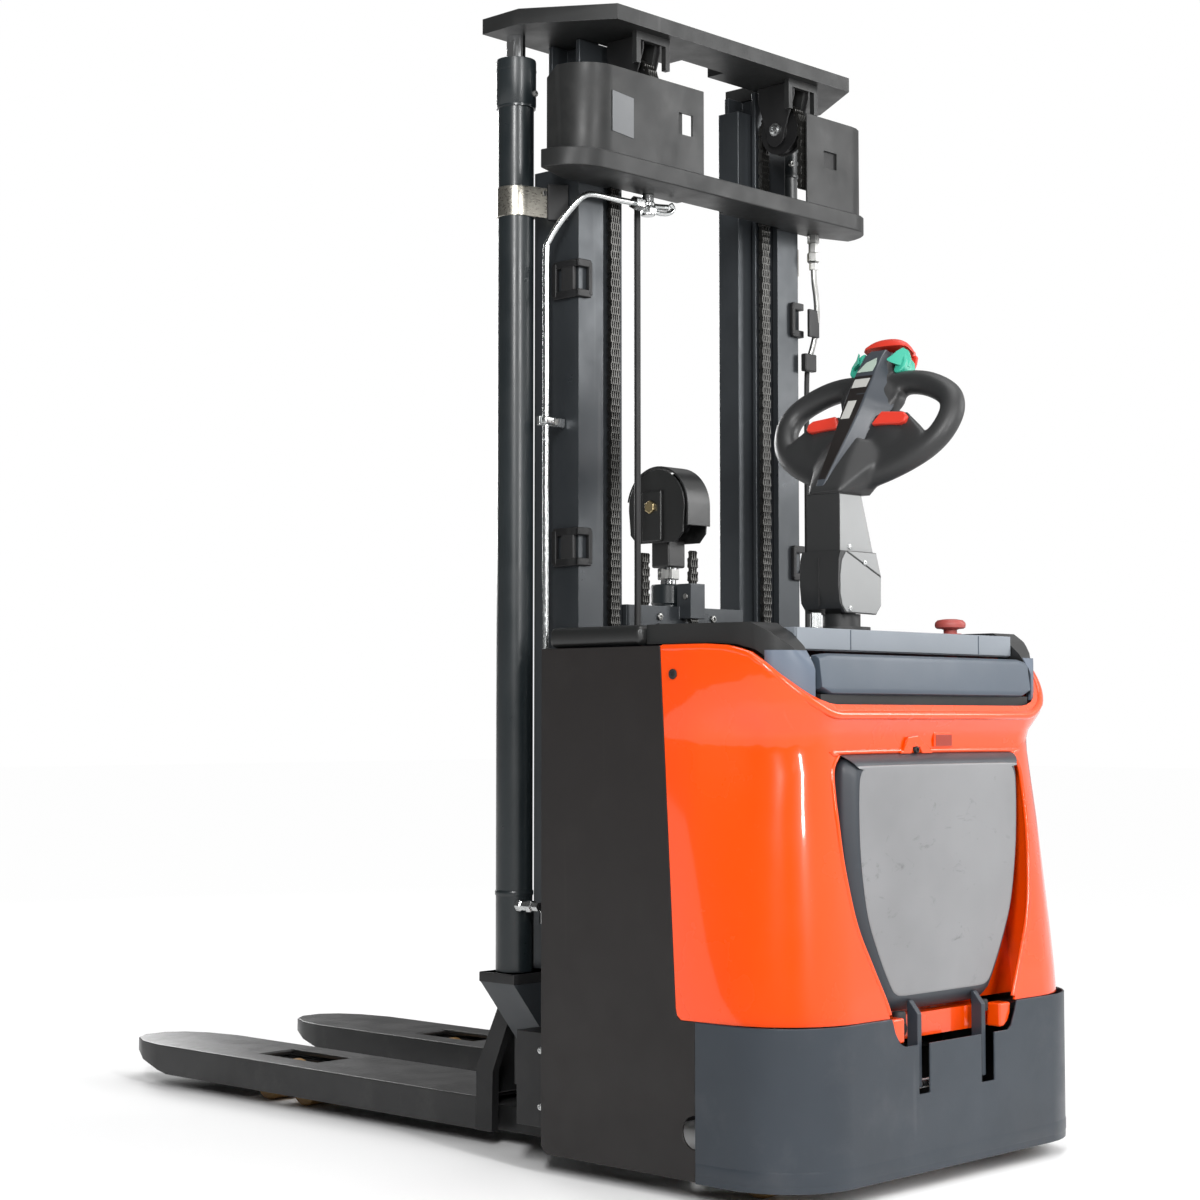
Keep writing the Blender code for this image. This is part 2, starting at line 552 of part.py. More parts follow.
finish(box((-0.011, -0.275, 0.400), (0.011, -0.2635, 1.0947)), "freelift_chain_front", "chain")

heel = [(-0.187, 0.028), (-0.1461, 0.028), (-0.1465, 0.138), (-0.207, 0.262), (-0.207, 0.330), (-0.255, 0.330),
        (-0.255, 0.250), (-0.232, 0.235), (-0.189, 0.136)]
face = [(-0.1466, 0.090), (-0.1466, 0.138), (-0.2071, 0.262), (-0.2071, 0.3295), (-0.2151, 0.3295),
        (-0.2151, 0.262), (-0.1546, 0.138), (-0.1546, 0.090)]
carriage = box((-0.3185, -0.262, 0.120), (0.3185, -0.246, 0.430))
bits = []
for _, s in SIDES:
    for x0, x1 in ((0.3025, 0.3185), (0.115, 0.131)):
        a, b = sorted((s * x0, s * x1))
        bits.append(plate([heel], a, b, "YZ"))
    a, b = sorted((s * 0.120, s * 0.3135))
    bits.append(plate([face], a, b, "YZ"))
    bits.append(mbox(s, 0.150, 0.160, -0.350, -0.250, 0.130, 0.590))
finish(union(carriage, *bits), "carriage_frame", "mast_grey")

tip = [(FORK_OUT, 0.830), (0.305, 0.900), (0.278, 0.952), (0.245, FORK_TIP), (0.189, FORK_TIP),
       (0.156, 0.952), (0.129, 0.900), (FORK_IN, 0.830)]
for side, s in SIDES:
    plan = [(FORK_IN, FORK_HEEL), (FORK_OUT, FORK_HEEL)] + tip
    blade = plate([[(s * x, y) for x, y in plan]], FORK_BOT, FORK_TOP, "XY")
    blade = cut(blade,
                mbox(s, FORK_IN + FORK_WALL, FORK_OUT - FORK_WALL, -0.20, 0.820, 0.0, FORK_TOP - 0.008),
                mbox(s, 0.168, 0.256, 0.382, 0.565, 0.05, 0.12),
                plate([[(0.800, 0.0), (0.800, 0.028), (0.990, 0.066), (0.990, 0.0)]], -0.5, 0.5, "YZ"))
    finish(blade, f"fork_{side}", "frame_black")

# ------------------------------------------------------ drive unit and casters
drive = union(cylinder((0, STEER[1], 0.2815), "Z", 0.113, 0.017, 32),
              cylinder((0, STEER[1], 0.2600), "Z", 0.090, 0.050, 32),
              cylinder((0, STEER[1], 0.395), "Z", 0.080, 0.210, 32),
              box((-0.050, STEER[1] + 0.041, 0.060), (0.050, STEER[1] + 0.072, 0.250)),
              cylinder((0, STEER[1] + 0.005, WHEEL_R), "Y", 0.015, 0.086, 16))
finish(drive, "drive_unit", "frame_black", (0, STEER[1], 0.280))
finish(ring(WHEEL_R, 0.0155, 0.070, (0, STEER[1], WHEEL_R), "Y", 40, 0.004), "drive_wheel", "poly",
       (0, STEER[1], WHEEL_R))
for side, s in SIDES:
    x = s * CASTER_X
    fork = union(box((x - 0.030, -0.815, 0.245), (x + 0.030, -0.755, 0.2617)),
                 box((x - 0.030, -0.832, 0.036), (x - 0.024, -0.765, 0.250)),
                 box((x + 0.024, -0.832, 0.036), (x + 0.030, -0.765, 0.250)),
                 cylinder((x, CASTER_Y, CASTER_R), "X", AXLE_R, 0.056, 12))
    finish(fork, f"caster_fork_{side}", "steel", (x, CASTER_SWIVEL_Y, 0.245))
    finish(ring(CASTER_R, AXLE_BORE, 0.040, (x, CASTER_Y, CASTER_R), "X", 32, 0.003),
           f"caster_wheel_{side}", "poly", (x, CASTER_Y, CASTER_R))

# ---------------------------------------------------------------------- tiller
base = union(cylinder((0, STEER[1], 0.7110), "Z", 0.050, 0.420, 32),
             cylinder((PITCH_X + 0.005, STEER[1], 0.9240), "Z", 0.050, 0.007, 32),
             cylinder((PITCH_X + 0.005, STEER[1], 0.9350), "Z", 0.033, 0.030, 24),
             box((PITCH_X - 0.018, STEER[1] - 0.018, 0.930), (PITCH_X + 0.022, STEER[1] + 0.018, 1.020)),
             cylinder((PITCH_X, STEER[1], PITCH_Z), "Y", 0.010, 0.080, 16))
finish(base, "tiller_base", "tiller_black", (0, STEER[1], 0.930))

housing = [(-0.084, 0.951), (0.003, 0.9495), (0.0175, 0.966), (0.018, 1.016), (0.0045, 1.057), (-0.096, 1.057),
           (-0.101, 1.042), (-0.103, 1.000), (-0.099, 0.968)]
neck = [(0.005, 1.055), (-0.028, 1.156), (-0.090, 1.156), (-0.090, 1.055)]
arm = union(plate([housing], STEER[1] - 0.042, STEER[1] + 0.042, "XZ"),
            plate([neck], STEER[1] - 0.035, STEER[1] + 0.035, "XZ"))
arm = cut(arm, box((-0.090, STEER[1] - 0.036, 0.90), (0.080, STEER[1] + 0.036, 1.048)),
          cylinder((PITCH_X, STEER[1], PITCH_Z), "Y", 0.0105, 0.090, 16))
finish(arm, "tiller_arm", "tiller_black", (PITCH_X, STEER[1], PITCH_Z))

E = Vector((0, -1, 0))
UP = Vector((math.sin(HEAD_LEAN), 0, math.cos(HEAD_LEAN)))
N = E.cross(UP)
HEAD = Matrix.Translation(HEAD_BASE) @ Matrix((E, UP, N)).transposed().to_4x4()
outer_half = [(0.036, 0.290), (0.036, 0.224), (0.064, 0.224), (0.071, 0.250), (0.118, 0.236), (0.169, 0.208),
              (0.193, 0.182), (0.2005, 0.150), (0.194, 0.112), (0.172, 0.077), (0.140, 0.055), (0.108, 0.036),
              (0.079, 0.025), (0.049, 0.014), (0.035, -0.010)]
hole = [(0.068, 0.186), (0.085, 0.196), (0.103, 0.198), (0.131, 0.188), (0.150, 0.173), (0.155, 0.152),
        (0.145, 0.128), (0.134, 0.117), (0.119, 0.136), (0.103, 0.151), (0.082, 0.165), (0.070, 0.176)]
full = mirror_points(outer_half)
head_ob = plate([full, hole, [(-x, y) for x, y in hole]], -0.0175, 0.0175, HEAD)
spine = [(-0.012, 0.0170), (-0.012, 0.054), (0.150, 0.0440), (0.262, 0.0400), (0.284, 0.0170)]
ridge = plate([spine], -0.024, 0.024, HEAD @ Matrix(((0, 0, 1, 0), (1, 0, 0, 0), (0, 1, 0, 0), (0, 0, 0, 1))))
head_ob = union(head_ob, ridge)
rod_hole = cylinder((0, 0, 0), "X", 0.0080, 0.12, 16)
rod_hole.matrix_world = HEAD @ Matrix.Translation((0, 0.258, 0))
head_ob = cut(head_ob, rod_hole, box((-0.20, -0.90, 1.05), (0.10, -0.60, 1.1565)))
finish(head_ob, "tiller_head", "tiller_black", HEAD_BASE)


def on_head(lo, hi):
    ob = box(lo, hi)
    ob.matrix_world = HEAD
    return ob


shaft = cylinder((0, 0, 0), "X", 0.0060, 0.11, 16)
shaft.matrix_world = HEAD @ Matrix.Translation((0, 0.258, 0))
paddles = union(shaft, on_head((0.0385, 0.2360, -0.016), (0.0635, 0.282, 0.018)),
                on_head((-0.0635, 0.2360, -0.016), (-0.0385, 0.282, 0.018)))
paddle_origin = HEAD @ Vector((0, 0.258, 0))
finish(paddles, "drive_paddles", "teal", paddle_origin)
finish(on_head((-0.050, 0.2970, -0.018), (0.050, 0.316, 0.018)), "belly_switch", "red", HEAD @ Vector((0, 0.297, 0)))
finish(on_head((0.038, 0.121, 0.0215), (0.104, 0.146, 0.0290)), "lift_button", "red", HEAD @ Vector((0.07, 0.133, 0.0215)))
finish(on_head((-0.104, 0.121, 0.0215), (-0.038, 0.146, 0.0290)), "lower_button", "red", HEAD @ Vector((-0.07, 0.133, 0.0215)))

# -------------------------------------------------------- fold-down platform
py, pz = PLATFORM_HINGE
board = plate([mirror_points([(0.222, 0.711), (0.237, 0.706), (0.2455, 0.690), (0.247, 0.600), (0.242, 0.530),
                              (0.226, 0.445), (0.196, 0.375), (0.160, 0.312), (0.145, 0.296), (0.125, 0.288)])],
              -0.948, -0.908, "XZ")
arms = []
for _, s in SIDES:
    arms.append(mbox(s, 0.086, 0.097, -0.966, -0.9445, 0.160, 0.3055))
arms.append(cylinder((0, py, pz), "X", 0.008, 0.180, 12))
finish(union(board, *arms), "platform", "platform_grey", (0, py, pz))

# ------------------------------------------------------------- pipe and hoses
finish(tube([(-0.362, -0.366, 0.420), (-0.362, -0.366, 1.600), (-0.355, -0.374, 1.625), (-0.318, -0.412, 1.690),
             (-0.300, -0.416, 1.700), (-0.130, -0.416, 1.706), (-0.105, -0.430, 1.706)], 0.006, 2),
       "hydraulic_pipe", "steel")
finish(tube([(-0.150, -0.390, 0.500), (-0.150, -0.390, 1.7240)], 0.006, 2), "mast_hose_left", "rubber")
finish(tube([(0.335, -0.3950, 0.500), (0.335, -0.3950, 1.7240)], 0.005, 2), "mast_hose_right", "rubber")

for ob in CUTTERS.objects:
    ob.hide_render = True
    ob.display_type = "WIRE"
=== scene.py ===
"""Looks of the walkie stacker: finishes, fine shapes, camera and light."""
import json
import math

import bmesh
import bpy
import numpy as np
from mathutils import Matrix, Vector

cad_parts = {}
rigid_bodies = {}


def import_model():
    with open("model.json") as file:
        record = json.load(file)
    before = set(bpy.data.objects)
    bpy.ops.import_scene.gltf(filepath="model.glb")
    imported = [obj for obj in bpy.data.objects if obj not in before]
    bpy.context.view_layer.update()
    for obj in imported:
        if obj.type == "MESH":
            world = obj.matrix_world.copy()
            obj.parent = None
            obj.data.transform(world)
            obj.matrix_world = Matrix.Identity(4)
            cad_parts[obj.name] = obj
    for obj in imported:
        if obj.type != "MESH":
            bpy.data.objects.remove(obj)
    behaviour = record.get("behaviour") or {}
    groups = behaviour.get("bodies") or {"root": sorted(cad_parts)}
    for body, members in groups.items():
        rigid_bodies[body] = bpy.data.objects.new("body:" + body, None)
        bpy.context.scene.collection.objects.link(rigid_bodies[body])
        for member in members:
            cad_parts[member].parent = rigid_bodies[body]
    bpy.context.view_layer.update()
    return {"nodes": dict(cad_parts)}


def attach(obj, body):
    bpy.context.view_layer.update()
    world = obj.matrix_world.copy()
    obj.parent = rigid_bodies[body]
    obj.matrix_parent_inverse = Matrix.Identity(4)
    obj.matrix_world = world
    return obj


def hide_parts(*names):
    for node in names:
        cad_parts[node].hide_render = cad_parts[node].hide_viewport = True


for _o in list(bpy.data.objects):
    bpy.data.objects.remove(_o, do_unlink=True)

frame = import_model()
NODES = frame["nodes"]
SCENE = bpy.context.scene

# ============================================================ materials
MATS = {}


class G:
    """Small helper that writes node graphs."""

    def __init__(self, name):
        self.m = bpy.data.materials.new(name)
        self.m.use_nodes = True
        self.t = self.m.node_tree
        self.n = self.t.nodes
        self.l = self.t.links
        self.b = self.n["Principled BSDF"]
        self.co = self.n.new("ShaderNodeTexCoord").outputs["Object"]

    def noise(self, scale, detail=4.0, rough=0.55, stretch=None, distort=0.0):
        src = self.co
        if stretch:
            mp = self.n.new("ShaderNodeMapping")
            mp.inputs["Scale"].default_value = stretch
            self.l.new(src, mp.inputs["Vector"])
            src = mp.outputs["Vector"]
        t = self.n.new("ShaderNodeTexNoise")
        t.inputs["Scale"].default_value = scale
        t.inputs["Detail"].default_value = detail
        t.inputs["Roughness"].default_value = rough
        t.inputs["Distortion"].default_value = distort
        self.l.new(src, t.inputs["Vector"])
        return t.outputs["Fac"]

    def ramp(self, fac, lo, hi, a=0.0, b=1.0):
        r = self.n.new("ShaderNodeMapRange")
        r.inputs["From Min"].default_value = lo
        r.inputs["From Max"].default_value = hi
        r.inputs["To Min"].default_value = a
        r.inputs["To Max"].default_value = b
        self.l.new(fac, r.inputs["Value"])
        return r.outputs["Result"]

    def math(self, op, a, b):
        m = self.n.new("ShaderNodeMath")
        m.operation = op
        for i, v in enumerate((a, b)):
            if isinstance(v, (int, float)):
                m.inputs[i].default_value = v
            else:
                self.l.new(v, m.inputs[i])
        return m.outputs[0]

    def mix(self, fac, a, b):
        m = self.n.new("ShaderNodeMix")
        m.data_type = "RGBA"
        if isinstance(fac, (int, float)):
            m.inputs[0].default_value = fac
        else:
            self.l.new(fac, m.inputs[0])
        for i, v in ((6, a), (7, b)):
            if isinstance(v, tuple):
                m.inputs[i].default_value = (*v, 1.0) if len(v) == 3 else v
            else:
                self.l.new(v, m.inputs[i])
        return m.outputs[2]

    def bump(self, height, strength, distance=0.001, normal=None):
        b = self.n.new("ShaderNodeBump")
        b.inputs["Strength"].default_value = strength
        b.inputs["Distance"].default_value = distance
        self.l.new(height, b.inputs["Height"])
        if normal is not None:
            self.l.new(normal, b.inputs["Normal"])
        return b.outputs["Normal"]

    def edge(self, radius=0.0025):
        """Near 1 on sharp edges, 0 on flats."""
        bv = self.n.new("ShaderNodeBevel")
        bv.samples = 4
        bv.inputs["Radius"].default_value = radius
        ge = self.n.new("ShaderNodeNewGeometry")
        d = self.n.new("ShaderNodeVectorMath")
        d.operation = "DOT_PRODUCT"
        self.l.new(bv.outputs["Normal"], d.inputs[0])
        self.l.new(ge.outputs["Normal"], d.inputs[1])
        return self.ramp(d.outputs["Value"], 0.98, 0.80)

    def set(self, **kw):
        for k, v in kw.items():
            k = k.replace("_", " ")
            if k not in self.b.inputs:
                continue
            if isinstance(v, (int, float)):
                self.b.inputs[k].default_value = v
            elif isinstance(v, tuple):
                self.b.inputs[k].default_value = (*v, 1.0) if len(v) == 3 else v
            else:
                self.l.new(v, self.b.inputs[k])
        return self


def scale(c, k):
    return tuple(min(1.0, x * k) for x in c)


def painted(name, col, rough=0.4, wear=0.35, wear_col=(0.12, 0.12, 0.12), peel=0.10, coat=0.0, dust=0.12, metal=0.0, scratch=0.10,
            dust_col=(0.20, 0.19, 0.18)):
    """Powder-coated or painted steel: orange peel, soft dirt, rubbed edges, faint scratches."""
    g = G(name)
    big = g.ramp(g.noise(3.2, 5), 0.35, 0.72)
    c = g.mix(big, scale(col, 0.86), scale(col, 1.15))
    grime = g.ramp(g.noise(9.0, 8, 0.65), 0.55, 0.80, 0.0, dust)
    c = g.mix(grime, c, dust_col)
    scr = g.ramp(g.noise(26.0, 2, 0.4, stretch=(1.0, 1.0, 0.045), distort=0.6), 0.70, 0.76, 0.0, scratch)
    c = g.mix(scr, c, scale(wear_col, 1.1))
    if wear > 0:
        chips = g.math("MULTIPLY", g.edge(), g.ramp(g.noise(38.0, 6, 0.7), 0.44, 0.62, 0.0, wear))
        c = g.mix(chips, c, wear_col)
    r = g.ramp(g.noise(14.0, 6, 0.6), 0.3, 0.7, rough - 0.07, rough + 0.09)
    nrm = g.bump(g.noise(620.0, 2), peel, 0.0004)
    nrm = g.bump(g.noise(6.0, 2), 0.03, 0.003, nrm)
    g.set(Base_Color=c, Roughness=r, Metallic=metal, Normal=nrm, Coat_Weight=coat, Coat_Roughness=0.12)
    MATS[name] = g.m
    return g.m


def plastic(name, col, rough=0.42, grain=0.22, coat=0.0, scuff=0.10, grain_scale=900.0, spec=0.5, scuff_col=None, var=0.10):
    """Moulded plastic: fine grain, slow colour drift, pale scuffs."""
    g = G(name)
    c = g.mix(g.ramp(g.noise(2.6, 4), 0.35, 0.7), scale(col, 1 - var), scale(col, 1 + var))
    sc = g.ramp(g.noise(17.0, 7, 0.7, stretch=(1.0, 0.5, 1.6), distort=1.2), 0.61, 0.76, 0.0, scuff)
    c = g.mix(sc, c, scuff_col or scale(col, 2.2))
    r = g.ramp(g.noise(8.0, 6, 0.6), 0.3, 0.7, rough - 0.05, rough + 0.08)
    nrm = g.bump(g.noise(grain_scale, 2), grain, 0.0003)
    g.set(Base_Color=c, Roughness=r, Normal=nrm, Coat_Weight=coat, Coat_Roughness=0.06, Specular_IOR_Level=spec)
    MATS[name] = g.m
    return g.m


def metal(name, col, rough=0.25, brush=0.25, stretch=(1, 1, 0.05), grime=0.15, m=1.0):
    """Bare or plated metal with fine brushing and faint staining."""
    g = G(name)
    c = g.mix(g.ramp(g.noise(20.0, 6), 0.4, 0.75, 0.0, grime), col, scale(col, 0.45))
    b = g.noise(380.0, 3, 0.6, stretch=stretch)
    r = g.ramp(b, 0.3, 0.7, max(rough - 0.08, 0.03), rough + 0.12)
    g.set(Base_Color=c, Roughness=r, Metallic=m, Normal=g.bump(b, brush * 0.4, 0.0002))
    MATS[name] = g.m
    return g.m


def gloss_hood(name, col):
    """Thick glossy paint on a moulded hood: clear coat, faint flow, hairline swirls and dust."""
    g = G(name)
    c = g.mix(g.ramp(g.noise(1.8, 3), 0.35, 0.7), scale(col, 0.94), scale(col, 1.04))
    dust = g.ramp(g.noise(60.0, 8, 0.7), 0.62, 0.85, 0.0, 0.10)
    c = g.mix(dust, c, (0.55, 0.30, 0.18))
    scr = g.ramp(g.noise(40.0, 2, 0.4, stretch=(0.3, 1.0, 0.12), distort=0.9), 0.72, 0.76, 0.0, 0.06)
    c = g.mix(scr, c, (0.62, 0.28, 0.16))
    r = g.ramp(g.noise(7.0, 5), 0.3, 0.7, 0.20, 0.30)
    flow = g.bump(g.noise(3.2, 2), 0.07, 0.006)
    fine = g.bump(g.noise(260.0, 2), 0.035, 0.0004, flow)
    g.set(Base_Color=c, Roughness=r, Normal=fine, Coat_Weight=0.85, Coat_Roughness=0.045, Specular_IOR_Level=0.25)
    MATS[name] = g.m
    return g.m


gloss_hood("m_hood", (0.84, 0.064, 0.0004))
painted("m_panel", (0.0105, 0.0085, 0.008), 0.42, wear=0.25, wear_col=(0.09, 0.085, 0.08), peel=0.16, dust=0.10,
        dust_col=(0.05, 0.047, 0.044))
painted("m_skirt", (0.026, 0.034, 0.044), 0.38, wear=0.4, wear_col=(0.16, 0.16, 0.17), peel=0.2, dust=0.22,
        dust_col=(0.10, 0.10, 0.105))
painted("m_mast", (0.017, 0.0175, 0.0175), 0.42, wear=0.35, wear_col=(0.18, 0.18, 0.18), peel=0.10, metal=0.0, dust=0.14,
        dust_col=(0.10, 0.095, 0.09))
painted("m_channel", (0.040, 0.045, 0.050), 0.34, wear=0.30, wear_col=(0.24, 0.24, 0.24), peel=0.05, metal=0.40, dust=0.06, scratch=0.06,
        dust_col=(0.10, 0.095, 0.09))
painted("m_frame", (0.012, 0.012, 0.0125), 0.45, wear=0.3, wear_col=(0.12, 0.12, 0.12), peel=0.12, dust=0.15,
        dust_col=(0.05, 0.048, 0.045))
painted("m_fork", (0.020, 0.020, 0.0205), 0.40, wear=0.55, wear_col=(0.22, 0.21, 0.20), peel=0.12, dust=0.30,
        dust_col=(0.09, 0.087, 0.084))
painted("m_cylinder", (0.010, 0.014, 0.016), 0.34, wear=0.2, wear_col=(0.12, 0.12, 0.12), peel=0.03, coat=0.10, dust=0.04, scratch=0.04)
plastic("m_cover", (0.014, 0.0145, 0.0145), 0.33, grain=0.30, scuff=0.10)
# slate-blue plastic for the arm-rest ends: painted sheen, a reflection coloured in
plastic("m_cowl_grey", (0.10, 0.125, 0.165), 0.42, grain=0.20, scuff=0.06)
plastic("m_tray", (0.22, 0.245, 0.275), 0.46, grain=0.22, scuff=0.05, scuff_col=(0.14, 0.14, 0.15))
plastic("m_slate", (0.058, 0.077, 0.102), 0.40, grain=0.24, scuff=0.07)
plastic("m_platform", (0.205, 0.207, 0.213), 0.38, grain=0.30, scuff=0.60, scuff_col=(0.045, 0.045, 0.05), var=0.14)
plastic("m_platform_edge", (0.030, 0.036, 0.044), 0.45, grain=0.3, scuff=0.12)
plastic("m_tiller", (0.022, 0.0225, 0.023), 0.42, grain=0.45, scuff=0.08, grain_scale=1300.0)
plastic("m_tiller_plate", (0.27, 0.275, 0.275), 0.42, grain=0.16, scuff=0.08, scuff_col=(0.12, 0.12, 0.12))
plastic("m_red", (0.62, 0.040, 0.022), 0.38, grain=0.2, scuff=0.08, scuff_col=(0.75, 0.25, 0.2))
plastic("m_estop", (0.36, 0.065, 0.055), 0.45, grain=0.15, scuff=0.15, scuff_col=(0.55, 0.25, 0.22))
plastic("m_teal", (0.035, 0.36, 0.25), 0.38, grain=0.18, scuff=0.10, scuff_col=(0.2, 0.55, 0.45))
plastic("m_poly", (0.30, 0.17, 0.055), 0.5, grain=0.2, scuff=0.35, scuff_col=(0.10, 0.065, 0.035))
plastic("m_rubber", (0.012, 0.012, 0.0125), 0.6, grain=0.5, scuff=0.15, scuff_col=(0.05, 0.048, 0.045))
plastic("m_blank", (0.42, 0.42, 0.40), 0.5, grain=0.1, scuff=0.15, scuff_col=(0.25, 0.25, 0.24))
plastic("m_blank_grey", (0.10, 0.105, 0.11), 0.45, grain=0.1, scuff=0.15, scuff_col=(0.2, 0.2, 0.2))
plastic("m_teal_pale", (0.36, 0.44, 0.38), 0.45, grain=0.1, scuff=0.15, scuff_col=(0.25, 0.3, 0.28))
plastic("m_spine", (0.045, 0.052, 0.062), 0.34, grain=0.30, scuff=0.10, grain_scale=1300.0)
# darker copy of the hood orange: painted shade for the floor of the latch recess
gloss_hood("m_hood_shade", (0.30, 0.018, 0.001))
metal("m_steel", (0.56, 0.57, 0.57), 0.25)
metal("m_pipe", (0.66, 0.68, 0.68), 0.20, stretch=(1, 1, 0.4))
metal("m_chrome", (0.74, 0.75, 0.76), 0.07, brush=0.05, grime=0.05)
metal("m_strap", (0.44, 0.42, 0.37), 0.30, stretch=(0.1, 1, 1))
metal("m_chain", (0.060, 0.059, 0.056), 0.30, brush=0.3, grime=0.5, m=0.85)
metal("m_bolt", (0.32, 0.32, 0.31), 0.32)
metal("m_brass", (0.50, 0.40, 0.22), 0.3)


for _key, _level in (("m_mast", 0.28), ("m_fork", 0.35), ("m_frame", 0.35), ("m_skirt", 0.42), ("m_panel", 0.40)):
    MATS[_key].node_tree.nodes["Principled BSDF"].inputs["Specular IOR Level"].default_value = _level


# ============================================================ shape tools
def wave(ob, key):
    ob.data.materials.clear()
    ob.data.materials.append(MATS[key])
    return ob


def make(name, bm, key, body, replaces=(), smooth=30.0, bevel=None, slot=None):
    me = bpy.data.meshes.new(name)
    bm.to_mesh(me)
    bm.free()
    ob = bpy.data.objects.new(name, me)
    SCENE.collection.objects.link(ob)
    me.shade_smooth()
    if smooth is not None:
        me.set_sharp_from_angle(angle=math.radians(smooth))
    wave(ob, key)
    if bevel:
        add_bevel(ob, *bevel)
    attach(ob, body)
    if replaces:
        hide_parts(*replaces)
    return ob


def add_bevel(ob, width, segments=2, angle=35.0, weld=False):
    if weld:
        w = ob.modifiers.new("weld", "WELD")
        w.merge_threshold = 0.00002
    m = ob.modifiers.new("bevel", "BEVEL")
    m.width = width
    m.segments = segments
    m.limit_method = "ANGLE"
    m.angle_limit = math.radians(angle)
    m.harden_normals = False
    n = ob.modifiers.new("normals", "WEIGHTED_NORMAL")
    n.keep_sharp = False
    return ob


def dress(node, key, bevel=0.0012, segments=2, angle=35.0):
    """Give a CAD node its finish and fine rounded edges."""
    ob = NODES[node]
    ob.data.materials.clear()
    ob.data.materials.append(MATS[key])
    ob.data.shade_smooth()
    if bevel:
        add_bevel(ob, bevel, segments, angle, weld=True)
    return ob


# ============================================================ CAD nodes and their finishes
FINISH = {
    "chassis_frame": ("m_frame", 0.0012), "battery": ("m_slate", 0.003), "hydraulic_unit": ("m_frame", 0.004),
    "console": ("m_tray", 0.004), "storage_panel": ("m_slate", 0.002), "rear_cowl": ("m_cover", 0.004),
    "battery_cover": ("m_cover", 0.002), "hood": ("m_hood", 0.002), "skirt": ("m_skirt", 0.0016),
    "emergency_stop": ("m_estop", 0.0010), "key_switch": ("m_steel", 0.0008), "tie_plate": ("m_mast", 0.0022),
    "top_plate": ("m_mast", 0.0020), "inner_crossbeam": ("m_channel", 0.0015), "carriage_frame": ("m_frame", 0.002),
    "freelift_cylinder": ("m_cylinder", 0.001), "freelift_head": ("m_cover", 0.003),
    "freelift_chain_rear": ("m_chain", 0.0006), "freelift_chain_front": ("m_chain", 0.0006),
    "hydraulic_pipe": ("m_pipe", 0), "mast_hose_left": ("m_rubber", 0), "mast_hose_right": ("m_rubber", 0),
    "drive_unit": ("m_frame", 0.002), "drive_wheel": ("m_poly", 0.002), "tiller_base": ("m_tiller", 0.003),
    "tiller_arm": ("m_tiller", 0.003), "tiller_head": ("m_tiller", 0.006), "drive_paddles": ("m_teal", 0.002),
    "belly_switch": ("m_red", 0.004), "lift_button": ("m_red", 0.002), "lower_button": ("m_red", 0.002),
    "platform": ("m_platform", 0.004),
}
for side in ("left", "right"):
    FINISH[f"side_panel_{side}"] = ("m_panel", 0.0012)
    FINISH[f"outer_mast_{side}"] = ("m_channel", 0.002)
    FINISH[f"intermediate_mast_{side}"] = ("m_channel", 0.002)
    FINISH[f"inner_mast_{side}"] = ("m_channel", 0.002)
    FINISH[f"lift_cylinder_{side}"] = ("m_cylinder", 0.0015)
    FINISH[f"lift_rod_{side}"] = ("m_chrome", 0)
    FINISH[f"mast_cover_{side}"] = ("m_mast", 0.0010)
    FINISH[f"lift_chain_{side}"] = ("m_chain", 0.0006)
    FINISH[f"chain_sheave_{side}"] = ("m_frame", 0.001)
    FINISH[f"fork_{side}"] = ("m_fork", 0.0025)
    FINISH[f"caster_fork_{side}"] = ("m_frame", 0.0012)
    FINISH[f"caster_wheel_{side}"] = ("m_poly", 0.0015)
    for end in ("front", "rear"):
        FINISH[f"load_roller_{side}_{end}"] = ("m_poly", 0.0015)
for node, (key, bw) in FINISH.items():
    dress(node, key, bw)

# ============================================================ fine shapes
def body_of(node):
    return NODES[node].parent.name.split(":", 1)[1]


def prism_bm(outline, a, b, m=None, plane="XY"):
    """Closed prism of a flat outline between a and b along the plane's normal."""
    maps = {"XY": lambda u, v, w: (u, v, w), "YZ": lambda u, v, w: (w, u, v), "XZ": lambda u, v, w: (u, w, v)}
    f = maps[plane]
    bm = bmesh.new()
    lo = [bm.verts.new(f(u, v, a)) for u, v in outline]
    hi = [bm.verts.new(f(u, v, b)) for u, v in outline]
    n = len(outline)
    bm.faces.new(lo)
    bm.faces.new(hi[::-1])
    for i in range(n):
        bm.faces.new((lo[i], hi[i], hi[(i + 1) % n], lo[(i + 1) % n]))
    bmesh.ops.recalc_face_normals(bm, faces=bm.faces[:])
    if m is not None:
        bmesh.ops.transform(bm, matrix=m, verts=bm.verts[:])
    return bm


def prism(name, outline, a, b, key, body, plane="XY", m=None, bevel=(0.0015, 3), **kw):
    return make(name, prism_bm(outline, a, b, m, plane), key, body, bevel=bevel, **kw)


def block_bm(lo, hi, m=None):
    bm = bmesh.new()
    size = [abs(hi[i] - lo[i]) for i in range(3)]
    mid = [(hi[i] + lo[i]) / 2 for i in range(3)]
    mat = Matrix.Translation(mid) @ Matrix.Diagonal((*size, 1.0))
    bmesh.ops.create_cube(bm, size=1.0, matrix=(m @ mat) if m is not None else mat)
    return bm


def block(name, lo, hi, key, body, m=None, bevel=(0.0015, 3), **kw):
    return make(name, block_bm(lo, hi, m), key, body, bevel=bevel, **kw)


